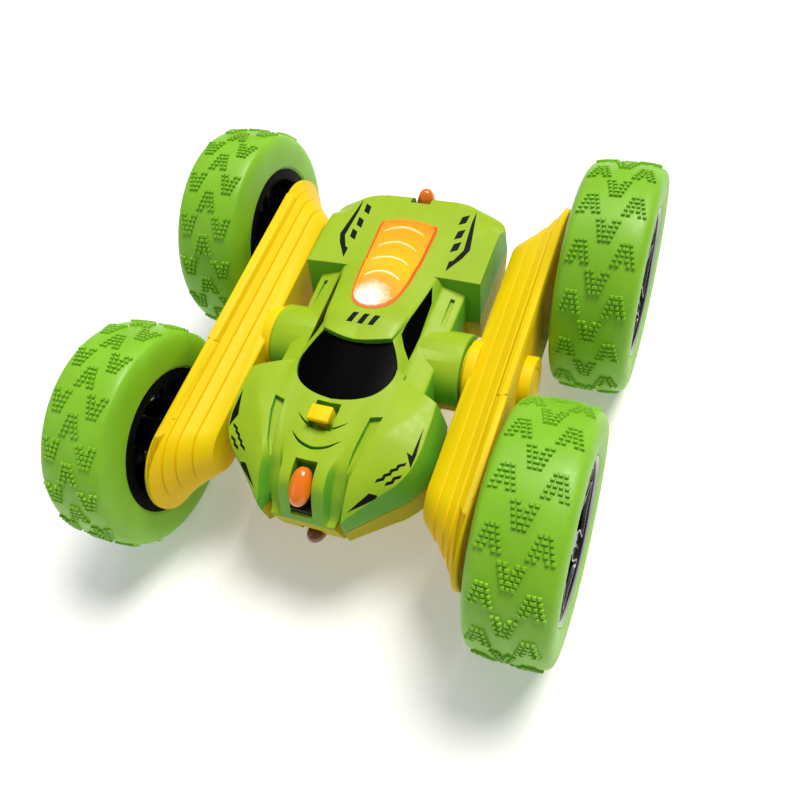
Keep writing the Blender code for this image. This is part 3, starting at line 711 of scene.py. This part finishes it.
# ---- arms
# Outward x, half-height and reach along Y: where an arm starts, its terraces, and its outer wall
ARM_ROOT = [(32.8, 7.6, 49.2), (33.2, 8.2, 49.8)]
TERRACES = [(37.7, 10.6, 54.1), (41.3, 12.4, 58.0), (43.8, 14.0, 61.5)]
ARM_WALL = [(45.5, 15.3, 65.2), (46.7, 15.3, 65.2), (47.1, 15.1, 65.0), (47.3, 14.8, 64.7)]
TERRACE_STEP = 0.38             # how far each terrace stands above the one inboard of it
TERRACE_GROOVE = 0.28           # depth of the line below the step


def stadium(half_height, reach):
    """A long outline with round ends, centred on the pivot axis, as (y, z) points."""
    outline = []
    for end in (1, -1):
        for k in range(22):
            angle = radians(-90 + 180 * k / 21)
            y = end * (reach - half_height + half_height * cos(angle))
            outline.append((y, AXLE_Z + end * half_height * sin(angle)))
    return outline


def arm_rings():
    """(x, half-height, reach) of each ring of an arm's skin, from its root outwards."""
    rings = list(ARM_ROOT)
    for x, height, reach in TERRACES:
        for back, drop in ((0.55, 0.0), (0.3, TERRACE_GROOVE), (0.12, TERRACE_GROOVE)):
            rings.append((x - back, height - TERRACE_STEP - drop, reach - TERRACE_STEP - drop))
        rings.append((x, height - 0.15, reach - 0.15))
        rings.append((x + 0.2, height + 0.02, reach + 0.05))
    return rings + ARM_WALL


def boot_pocket(side, turn):
    """A slim, shallow triangle sunk into the rounded end of an arm."""
    corners = [(44.5, 2), (46.6, 5), (45.9, 58), (44.5, 2)]     # outward x and angle round the end
    rings = []
    for lift in (-0.4, 1.2):
        ring = []
        for (x0, a0), (x1, a1) in zip(corners, corners[1:]):
            for k in range(6):
                x = x0 + (x1 - x0) * k / 6
                angle = radians(a0 + (a1 - a0) * k / 6)
                height = float(np.interp(x, (44.0, 45.5), (14.02, 15.3)))
                middle = float(np.interp(x, (44.0, 45.5), (61.55, 65.2))) - height
                ring.append((side * x, -turn * (middle + (height + lift) * sin(angle)),
                             AXLE_Z + turn * (height + lift) * cos(angle)))
        rings.append(ring)
    return loft(rings)


def arm_skin(side, rings):
    return loft([[(side * x, y, z) for y, z in stadium(height, reach)] for x, height, reach in rings])


def ring_groove(side, inner, outer, x0, x1):
    """A ring-shaped tool round the pivot axis."""
    return turned([(x0, inner), (x0, outer), (x1, outer), (x1, inner)], 48, None, side, AXLE_Z)


def straight_groove(side, turn):
    ends = ((47.6, 47.5, 15.35), (44.1, 43.5, 14.15))
    return tube("groove", [Vector((side * x, -turn * y, AXLE_Z + turn * z)) for x, y, z in ends], 0.45, 6)


def build_arm(side_name, side):
    arm = new_object("arm", arm_skin(side, arm_rings()))
    cut(arm, arm_skin(side, [(36.0, 7.0, 49.0), (44.5, 12.4, 60.0)]))
    pads = bmesh.new()
    rail = [(43.9, 14.0), (44.5, 14.95), (47.1, 15.75), (47.1, 13.0), (44.0, 12.6)]
    for turn in (1, -1):
        loft([[(side * x, y * turn, AXLE_Z + h * turn) for x, h in rail] for y in (-14.6, 49.0)], pads)
    pivot = rod("x", 10.6, side * 31.2, side * 34.6, 0, AXLE_Z, 56)
    trunnion = rod("x", 8.9, side * 20.0, side * 36.0, 0, AXLE_Z, 56)
    motor = rod("x", 8.5, side * 46.4, side * 50.5, 0, AXLE_Z, 56)
    join(arm, rounded(pads, 0.25, 2, 30), rounded(pivot, 0.5, 3, 40), trunnion)
    cut(arm, rod("x", 7.9, side * 18.0, side * 35.0, 0, AXLE_Z, 48))
    join(arm, rounded(motor, 0.5, 3, 40))
    cut(arm, ring_groove(side, 4.8, 5.6, 50.0, 51.0), ring_groove(side, 7.1, 7.5, 50.2, 51.0))
    bearings = bmesh.new()
    for end in ENDS.values():
        rod("x", 5.0, side * 46.6, side * 49.8, end * AXLE_Y, AXLE_Z, 40, bearings)
    join(arm, rounded(bearings, 0.4, 2, 40))
    cut(arm, outer_face_holes(side), outer_face_seam(side))
    for turn in (1, -1):
        cut(arm, boot_pocket(side, turn), straight_groove(side, turn))
    shade(arm, 32)
    finish_piece(rename(arm, f"{side_name}_arm_shell"), YELLOW,
                 [f"{side_name}_arm_housing", f"{side_name}_arm_cover"], f"{side_name}_arm")


def outer_face_holes(side):
    """Screw wells, axle holes and cooling slots in the outboard face."""
    mesh = bmesh.new()
    for end in ENDS.values():
        rod("x", 2.3, side * 46.4, side * 52, end * 58.0, AXLE_Z, 28, mesh)
        rod("x", 1.75, side * 45, side * 52, end * AXLE_Y, AXLE_Z, 28, mesh)
        for k in range(3):
            prism(slot_outline(end * (16.5 + 4.0 * k), 0.7, 4.2), side * 46.5, side * 48.5, "x", mesh)
    return mesh


def outer_face_seam(side):
    """A fine groove where the cover meets the housing."""
    rings = []
    for (ya, za), (yb, zb) in zip(stadium(12.8, 62.7), stadium(13.3, 63.2)):
        rings.append([(side * 46.9, ya, za), (side * 46.9, yb, zb), (side * 48.0, yb, zb),
                      (side * 48.0, ya, za)])
    return loft(rings, closed=True)


def slot_outline(y, half_width, half_height):
    """An upright slot with round ends, level with the axles, as (y, z) points."""
    top = arc(half_width, 0, 180, 8, (y, AXLE_Z + half_height))
    return top + arc(half_width, 180, 360, 8, (y, AXLE_Z - half_height))


# ---- wheels
TREAD_RADIUS = TYRE_RADIUS - 0.75
# Tread edge to bead as (inset from the tyre's side, radius); the outer wall is more dished
TREAD_EDGE, INNER_WALL, OUTER_WALL = ([(TYRE_HALF - inset, r) for inset, r in points] for points in (
    [(8.5, TREAD_RADIUS), (5.4, TREAD_RADIUS - 0.2), (3.3, 33.75), (2.0, 33.35)],
    [(1.6, 33.0), (0.95, 31.9), (0.4, 30.3), (0.1, 28.0), (0.0, 25.4), (0.05, RIM_RADIUS + 0.7),
     (0.6, RIM_RADIUS - 0.1)],
    [(1.5, 33.05), (0.9, 32.4), (0.4, 31.2), (0.25, 29.4), (0.35, 27.2), (0.6, 25.2),
     (0.85, RIM_RADIUS + 0.6), (1.2, RIM_RADIUS - 0.1)]))
CLUSTERS = 15                   # tread clusters round each of the three columns
STAGGER = 0.57                  # how far round the middle column is shifted, in cluster pitches
# The blocks in each row of a cluster as (place across, width), from its narrow end to its wide one
NUB_ROWS = (((-1.2, 1.0), (0.0, 1.0), (1.2, 1.0)),
            ((-1.6, 1.0), (0.0, 1.7), (1.6, 1.0)),
            ((-2.0, 1.0), (-0.67, 1.0), (0.67, 1.0), (2.0, 1.0)),
            ((-2.4, 1.0), (-0.87, 1.2), (0.87, 1.2), (2.4, 1.0)),
            ((-2.8, 1.05), (-1.45, 1.05), (1.45, 1.05), (2.8, 1.05)))
COLUMN_X = 6.05
NUB_PITCH = 1.45                # distance between rows, round the tread
NUB_LENGTH = 0.95
NUB_HEIGHT = 0.72


def tread_radius(x):
    """The tyre's bare radius at a distance x from its middle plane."""
    return float(np.interp(abs(x), [p[0] for p in TREAD_EDGE], [p[1] for p in TREAD_EDGE]))


def nub(mesh, x, angle, width):
    """One small rubber block standing on the tread."""
    rings = []
    base = tread_radius(x)
    for radius, shrink in ((base - 0.5, 1.0), (base + NUB_HEIGHT * 0.8, 0.92), (base + NUB_HEIGHT, 0.74)):
        ring = []
        for a, b in ((-1, -1), (1, -1), (1, 1), (-1, 1)):
            turn = angle + b * NUB_LENGTH * shrink / 2 / TYRE_RADIUS
            ring.append((x + a * width * shrink / 2, radius * cos(turn), radius * sin(turn)))
        rings.append(ring)
    loft(rings, mesh)


def add_tread_nubs(mesh):
    """Three columns of clusters; the middle column points the other way."""
    for x0, way, shift in ((-COLUMN_X, 1, 0.0), (0.0, -1, STAGGER), (COLUMN_X, 1, 0.0)):
        for k in range(CLUSTERS):
            middle = 2 * pi * (k + shift) / CLUSTERS
            for row, blocks in enumerate(NUB_ROWS):
                turn = (row - (len(NUB_ROWS) - 1) / 2) * (NUB_PITCH / TYRE_RADIUS)
                for offset, width in blocks:
                    nub(mesh, x0 + offset * way, middle + turn * way, width)


def build_tyre_mesh():
    profile = [(-x, r) for x, r in reversed(TREAD_EDGE + INNER_WALL)] + TREAD_EDGE + OUTER_WALL
    profile += [(TYRE_HALF - 2.6, RIM_RADIUS + 0.05), (-(TYRE_HALF - 1.6), RIM_RADIUS + 0.05)]
    mesh = turned(profile, 120)
    add_tread_nubs(mesh)
    return new_object("tyre", mesh, 30)


SPOKES = 5
LIP_X = TYRE_HALF - 1.5         # how far out the rim's edge lies
DISH = [(6.6, LIP_X - 2.2), (13.0, LIP_X - 2.0), (20.6, LIP_X - 1.2)]   # radius, place of the spoke face


def dish_x(radius):
    return float(np.interp(radius, [r for r, _ in DISH], [x for _, x in DISH]))


def swung(points, angle):
    """Points of a plane turned round its origin."""
    c, s = cos(angle), sin(angle)
    return [(c * a - s * b, s * a + c * b) for a, b in points]


def window_outline(index, grow=0.0):
    """A curved gap between two spokes, as (radius, angle) turned into (y, z)."""
    inner, outer = 8.6 - grow, 19.6 + grow
    corners = [(outer, -0.40), (outer, 0.40), (14.0, 0.30), (inner, 0.30), (inner, -0.30), (14.0, -0.30)]
    points = []
    for r, a in corners:
        a += copysign(grow / r, a)
        points.append((r * cos(a), r * sin(a)))
    return swung(smooth_line(points, 7, closed=True), 2 * pi * (index + 0.5) / SPOKES)


def build_rim_mesh():
    back = TYRE_HALF - 0.8
    lip = [(LIP_X + x, RIM_RADIUS - r) for x, r in ((0, 0), (0.3, 0.4), (0.2, 1.1), (-0.5, 1.8), (-1.3, 2))]
    barrel = [(4.4, 20.5), (0.6, 20.3), (-back + 1.6, 21.2), (-back + 1.6, 19.2), (-back + 0.2, 19.0),
              (-back - 0.25, 19.4), (-back - 0.25, RIM_RADIUS - 0.5)]
    rim = new_object("rim", turned([(-back, RIM_RADIUS)] + lip + barrel, 96))
    face = [(dish_x(r), r) for r in (20.8, 17.0, 13.0, 9.5, 6.6)]
    rear = [(dish_x(r) - 2.2, r) for r in (6.6, 9.5, 13.0, 17.0, 20.8)]
    hub = [(LIP_X - 2.0, 5.2), (LIP_X - 2.0, 1.7), (-10.2, 1.7), (-10.2, 5.2), (2.0, 5.5)]
    disc = new_object("disc", turned(face + hub + rear, 96))
    windows = bmesh.new()
    for k in range(SPOKES):
        prism(window_outline(k), -2, 12, "x", windows)
    cut(disc, windows)
    ribs = bmesh.new()
    rib = [(6.0, -0.7), (19.8, -0.55), (19.8, 0.55), (6.0, 0.7)]
    for k in range(SPOKES):
        points = list(zip(swung(rib, 2 * pi * k / SPOKES), rib))
        loft([[(dish_x(r) - d, y, z) for (y, z), (r, _) in points] for d in (-0.55, 1.0)], ribs)
    join(disc, rounded(ribs, 0.25, 2, 30))
    join(rim, disc)
    return shade(rim, 34)


def build_trim_mesh():
    """Bright edging round each gap between spokes, the lip line and the hub cap."""
    mesh = bmesh.new()
    for k in range(SPOKES):
        inner, outer = window_outline(k, 0.0), window_outline(k, 0.62)
        rings = []
        for (ya, za), (yb, zb) in zip(inner, outer):
            xa, xb = dish_x(hypot(ya, za)), dish_x(hypot(yb, zb))
            rings.append([(xa - 0.9, ya, za), (xa + 0.75, ya, za), (xb + 0.75, yb, zb), (xb - 0.3, yb, zb)])
        loft(rings, mesh, closed=True)
    turned([(LIP_X - 0.2, RIM_RADIUS - 1.75), (LIP_X + 0.15, RIM_RADIUS - 1.5),
            (LIP_X + 0.45, RIM_RADIUS - 0.6), (LIP_X + 0.1, RIM_RADIUS - 0.3)], 96, mesh)
    cap = new_object("trim", mesh)
    join(cap, rounded(prism(circle(2.7, 6), LIP_X - 2.4, LIP_X - 0.6, "x"), 0.3, 2, 30))
    return shade(cap, 40)


def build_wheels():
    kinds = {"tyre": (build_tyre_mesh(), TYRE, "tyre_green"), "rim": (build_rim_mesh(), RIM, "rim_black"),
             "trim": (build_trim_mesh(), CHROME, "bright_metal")}
    for side_name, side in SIDES.items():
        turn = Matrix.Rotation(pi if side < 0 else 0.0, 4, "Z")
        for end_name, end in ENDS.items():
            name = f"{end_name}_{side_name}"
            spot = Matrix.Translation(Vector((side * WHEEL_X, end * AXLE_Y, AXLE_Z)) * MM)
            for kind, (source, material, slot) in kinds.items():
                piece = put(f"{name}_{kind}_detail", source.data)
                piece.matrix_world = spot @ turn
                nodes = [] if kind == "trim" else [f"{name}_{kind}"]
                finish_piece(piece, material, nodes, f"{name}_wheel")
    for source, _, _ in kinds.values():
        bpy.data.objects.remove(source)


# ---- windows, lamps and knob
def surface_of(item):
    graph = bpy.context.evaluated_depsgraph_get()
    return BVHTree.FromObject(item, graph)


def height_on(surface, x, y):
    """How high a surface lies at (x, y), or None beside it."""
    hit = surface.ray_cast(Vector((x, y, 80)) * MM, Vector((0, 0, -1)))[0]
    return hit.z / MM if hit else None


def patch(name, outline, surface, lift, thickness, fine=1.0, dome=None):
    """A thin closed piece whose (x, y) outline is dropped down onto a surface.

    lift is how far its top stands above the surface, and thickness how far it reaches down
    from there. dome gives extra height at (x, y), counted from z = 0 if surface is None.
    """
    mesh = bmesh.new()
    mesh.faces.new([mesh.verts.new((x, y, 0)) for x, y in outline])
    bmesh.ops.triangulate(mesh, faces=mesh.faces)
    for _ in range(6):
        long_edges = [e for e in mesh.edges if e.calc_length() > fine]
        if not long_edges:
            break
        bmesh.ops.subdivide_edges(mesh, edges=long_edges, cuts=1, use_grid_fill=False)
        bmesh.ops.triangulate(mesh, faces=[f for f in mesh.faces if len(f.verts) > 3])
    heights = [height_on(surface, v.co.x, v.co.y) if surface else 0.0 for v in mesh.verts]
    known = [h for h in heights if h is not None]
    fallback = sum(known) / len(known)
    for vert, height in zip(mesh.verts, heights):
        extra = dome(vert.co.x, vert.co.y) if dome else 0.0
        vert.co.z = (fallback if height is None else height) + lift + extra
    made = bmesh.ops.extrude_face_region(mesh, geom=list(mesh.faces))
    for item in made["geom"]:
        if isinstance(item, bmesh.types.BMVert):
            item.co.z -= thickness
    return new_object(name, mesh, 30)


WINDSHIELD = [(10.9, -4.6), (12.6, -7.4), (14.1, -10.6), (14.9, -13.6), (14.8, -16.8), (13.6, -20.4),
              (11.2, -23.4), (7.4, -25.6), (3.6, -26.6), (0.0, -26.9)]
SIDE_WINDOW = [(15.0, 19.0), (16.2, 14.0), (16.5, 2.0), (16.2, -7.6), (14.2, -4.9), (12.5, -1.6),
               (13.2, 5.0)]


def windshield_height(x, y):
    return 50.5 + 0.062 * (y + 27.0) - 0.0085 * x ** 2


def windshield_outline():
    top = [(x, brow_line(x)) for x in (0.0, 3.6, 7.2)]
    return both_sides(top + smooth_line(WINDSHIELD, 4))


def build_glazing(surface):
    glass = patch("windshield_glass", windshield_outline(), None, 0.0, 1.0, 1.3, windshield_height)
    finish_piece(glass, GLASS, ["windshield"])
    for name, side in SIDES.items():
        line = [(side * x, y) for x, y in SIDE_WINDOW]
        glass = patch(f"side_glass_{name}", line if side > 0 else line[::-1], surface, 0.12, 0.9, 1.2)
        finish_piece(glass, GLASS, [f"side_window_{name}"])


LENS_HALF = [(0.0, 3.9), (2.8, 4.3), (5.2, 5.8), (6.9, 8.4), (7.8, 11.4), (8.7, 18.0), (9.3, 28.0),
             (9.7, 41.0), (9.1, 42.4), (4.0, 43.0), (0.0, 43.2)]


def lens_dome(x, y):
    across = 1 - min(1.0, abs(x) / (6.6 + 2.8 * max(0.0, (y - 10) / 34))) ** 2
    along = max(0.0, min(1.0, (y - 4.2) / 4.0)) * max(0.0, min(1.0, (45.2 - y) / 3.0))
    return 1.25 * max(0.0, across) ** 0.7 * along ** 0.5


def build_lens(surface):
    outline = both_sides(LENS_HALF)
    border = patch("roof_lens_border", outline, surface, 0.25, 1.6, 1.2)
    finish_piece(border, LENS_EDGE, ["roof_lens"])
    inner = [(x * 0.915, 23.6 + (y - 23.6) * 0.965) for x, y in outline]
    lens = patch("roof_lens_dome", inner, surface, 0.45, 1.8, 0.8, lens_dome)
    finish_piece(lens, LENS)
    for k in range(4):
        half = 6.6 + 0.38 * k
        path = []
        for i in range(13):
            x = half * (i / 6 - 1) * 0.86
            y = 16.2 + 6.7 * k + 2.3 * (1 - (x / half) ** 2)
            path.append(Vector((x, y, height_on(surface, x, y) + 0.45 + lens_dome(x, y) + 0.02)))
        finish_piece(tube(f"roof_lens_rib_{k + 1}", path, 0.42), LENS_RIB)


def ring_round(middle, across, up, radius, count):
    """A circle of points in the plane of two directions."""
    angles = [2 * pi * k / count for k in range(count)]
    return [tuple(middle + across * (radius * cos(a)) + up * (radius * sin(a))) for a in angles]


def tube(name, path, radius, sides=8):
    """A round bar along a path, thinner towards both ends."""
    rings = []
    for i, point in enumerate(path):
        ahead = path[min(i + 1, len(path) - 1)] - path[max(i - 1, 0)]
        ahead.normalize()
        across = ahead.cross(Vector((0, 0, 1))).normalized()
        slimming = 0.35 + 0.65 * sin(pi * (i / (len(path) - 1))) ** 0.5
        rings.append(ring_round(point, across, across.cross(ahead), radius * slimming, sides))
    return new_object(name, loft(rings))


def lamp(name, centre, semi, radius, tilt, material):
    """An egg-shaped lamp whose long axis leans in the car's middle plane."""
    along = Vector((0, cos(radians(tilt)), sin(radians(tilt))))
    across = Vector((0, -along.z, along.y))
    rings = []
    for k in range(1, 22):
        angle = pi * k / 22
        middle = Vector(centre) - along * (semi * cos(angle))
        rings.append(ring_round(middle, Vector((1, 0, 0)), across, radius * sin(angle) ** 0.82, 32))
    piece = new_object(f"{name}_lens", loft(rings), 60)
    finish_piece(piece, material, [name])


def build_lamps():
    lamp("nose_lamp", (0, -53.0, 45.6), 5.6, 3.2, 26, ORANGE)
    lamp("tail_lamp", (0, 56.8, 44.2), 5.6, 3.1, 66, ORANGE)
    lamp("belly_lamp", (0, -55.0, 21.7), 4.7, 2.9, -30, ORANGE_PAINTED_SHADE)
    holder = new_object("nose_lamp_holder", box(-3.3, 3.3, -57.2, -46.5, 36.4, 39.6))
    finish_piece(rounded(holder, 0.3, 2, 30), DECAL)


def build_knob():
    low, high = size_of("switch_knob")
    knob = new_object("switch_knob_detail", box(low.x, high.x, low.y, high.y, 50.3, high.z))
    cut(knob, box(low.x - 1, high.x + 1, low.y - 1, low.y + 1.3, 49, high.z - 1.5))
    rounded(knob, 0.45, 3, 30)
    join(knob, box(-1.5, 1.5, low.y + 1.4, low.y + 4.0, 46.9, 51.0))
    finish_piece(shade(knob, 30), YELLOW, ["switch_knob"], "power_switch")


# ---- decals
def decal(name, outline, surface, side=1, fine=0.9):
    points = [(side * x, y) for x, y in outline]
    piece = patch(name, points if side > 0 else points[::-1], surface, 0.05, 0.12, fine)
    finish_piece(piece, DECAL)


DECK_BRACKET = [(19.4, 51.4), (21.9, 35.2), (20.6, 31.6), (17.0, 25.6), (16.9, 29.6), (18.0, 30.1),
                (20.0, 34.8), (19.2, 46.0)]
DECK_BARS = [(16.5, 47.2), (16.9, 41.0), (17.2, 35.7)]
FENDER_LOW_ARROW = [(14.2, -55.8), (18.9, -49.8), (21.7, -49.4), (20.0, -50.9)]
FENDER_HIGH_ARROW = [(28.1, -28.9), (27.4, -37.6), (25.9, -37.2), (27.9, -40.8), (28.4, -37.0)]


def slanted_bar(x, y, length, width, slant):
    """A parallelogram centred on (x, y), long in Y, sheared across by slant."""
    half, end, rise = width / 2, length / 2, width * 0.6
    return [(x - half - slant, y - end), (x + half - slant, y - end + rise),
            (x + half + slant, y + end + rise), (x - half + slant, y + end)]


def build_decals(surface):
    for name, side in SIDES.items():
        decal(f"deck_bracket_{name}", DECK_BRACKET, surface, side)
        for k, (x, y) in enumerate(DECK_BARS):
            decal(f"deck_bar_{name}_{k + 1}", slanted_bar(x, y - 0.7, 3.5, 2.1, 0.15), surface, side)
        decal(f"fender_low_arrow_{name}", FENDER_LOW_ARROW, surface, side)
        decal(f"fender_high_arrow_{name}", FENDER_HIGH_ARROW, surface, side)
        for row, (x0, y0, count) in enumerate(((21.1, -46.6, 4), (23.6, -46.5, 2))):
            for k in range(count):
                bar = slanted_bar(x0 + 1.45 * k, y0 + 1.7 * k, 0.95, 2.1, 0.15)
                decal(f"fender_bar_{name}_{row + 1}{k + 1}", bar, surface, side, 0.6)
    for k in range(3):
        x = -4.4 + 3.4 * k
        bar = [(x, -1.9), (x + 1.7, -1.9), (x + 3.0, 1.6), (x + 1.3, 1.6)]
        decal(f"roof_bar_{k + 1}", bar, surface)


LENS = glowing("lens_glow", [(0.0, (1.0, 0.93, 0.85)), (0.13, (1.0, 0.86, 0.72)), (0.24, (1.0, 0.34, 0.03)),
                             (0.42, (1.0, 0.47, 0.005)), (0.8, (1.0, 0.33, 0.005)),
                             (1.0, (1.0, 0.16, 0.01))], -1.0, 0.35)
LENS_EDGE = glowing("lens_border", [(0.0, (1.0, 0.25, 0.06)), (0.4, (0.95, 0.09, 0.004)),
                                    (1.0, (0.9, 0.09, 0.005))], 0, 0.22)
LENS_RIB = glowing("lens_rib", [(0.0, (1.0, 0.9, 0.6)), (0.6, (1.0, 0.72, 0.25)),
                                (1.0, (1.0, 0.75, 0.3))], 0, 0.45)


# ---- what stays from the CAD
def dress_cad_nodes():
    """Give every CAD node that still shows its own finish."""
    by_slot = {"bright_metal": STEEL, "motor_steel": STEEL, "gear_nylon": NYLON, "board_laminate": BOARD,
               "battery_wrap": WRAP, "switch_grey": GREY, "rim_black": RIM, "amber_lens": ORANGE,
               "yellow_plastic": YELLOW}
    slots = {row["node"]: row["material_slot"] for row in frame["record"]["subparts"]}
    for name, item in frame["nodes"].items():
        if item.hide_render:
            continue
        item.data.materials.clear()
        item.data.materials.append(by_slot[slots[name]])


# ---- stage, light and camera
def build_stage():
    mesh = bmesh.new()
    corners = ((-900, -900, 0), (900, -900, 0), (900, 900, 0), (-900, 900, 0))
    mesh.faces.new([mesh.verts.new(corner) for corner in corners])
    floor = new_object("floor", mesh)
    material, tree, shader = nodes_of("pale_floor")
    tone = ramp(tree, noise(tree, 4.0, 2.0), ((0.2, (0.86, 0.86, 0.87)), (0.8, (0.90, 0.90, 0.91))))
    link(tone, "Color", shader, "Base Color")
    link(tone, "Color", shader, "Emission Color")
    set_sockets(shader, Emission_Strength=0.26, Roughness=0.6)
    floor.data.materials.append(material)


def light(name, kind, power, direction):
    """A light whose rays come from a direction."""
    data = bpy.data.lights.new(name, kind)
    data.energy = power
    item = put(name, data)
    item.rotation_mode = "QUATERNION"
    item.rotation_quaternion = direction.to_track_quat("Z", "Y")
    return item


def soft_light(name, at, aim, size, power):
    item = light(name, "AREA", power, (Vector(at) - Vector(aim)).normalized())
    item.location = Vector(at) * MM
    item.data.shape = "DISK"
    item.data.size = size * MM


def build_lights():
    soft_light("sheen", (-160, 260, 520), (0, 0, 40), 260, 0.4)
    soft_light("fill", (-380, -300, 300), (0, 0, 30), 380, 0.2)
    key = light("key", "SUN", 2.8, Vector((0.26, 0.42, 1.0)))
    key.data.angle = radians(24)
    key.data.color = (1.0, 0.965, 0.88)
    world = bpy.data.worlds.new("studio")
    world.use_nodes = True
    set_sockets(world.node_tree.nodes["Background"], Color=(0.94, 0.97, 1.0, 1.0), Strength=0.24)
    bpy.context.scene.world = world
    bpy.context.scene.view_settings.view_transform = "Standard"


AZIMUTH, ELEVATION, ROLL = radians(38.62), radians(54.79), radians(-20.99)
CAMERA_TARGET, CAMERA_DISTANCE = (-19.36, 0.95, -6.43), 300.0


def build_camera():
    back = Vector((sin(AZIMUTH) * cos(ELEVATION), -cos(AZIMUTH) * cos(ELEVATION), sin(ELEVATION)))
    right = (-back).cross(Vector((0, 0, 1))).normalized()
    up = right.cross(-back)
    across = right * cos(ROLL) + up * sin(ROLL)
    above = up * cos(ROLL) - right * sin(ROLL)
    data = bpy.data.cameras.new("camera")
    data.sensor_width = 36.0
    data.lens = 37.4
    data.shift_x, data.shift_y = 0.0683, 0.0165
    data.clip_start, data.clip_end = 0.01, 20.0
    camera = put("camera", data)
    spot = Matrix.Translation((Vector(CAMERA_TARGET) + back * CAMERA_DISTANCE) * MM)
    camera.matrix_world = spot @ Matrix((across, above, back)).transposed().to_4x4()
    bpy.context.scene.camera = camera


for leftover in [item for item in bpy.data.objects if item.type in ("LIGHT", "CAMERA")]:
    bpy.data.objects.remove(leftover)
build_camera()
build_stage()
build_lights()
green_shell = build_green_shell()
build_yellow_shell()
green_surface = surface_of(green_shell)
build_glazing(green_surface)
build_lens(green_surface)
build_decals(green_surface)
build_lamps()
build_knob()
for side_name, side in SIDES.items():
    build_arm(side_name, side)
build_wheels()
dress_cad_nodes()
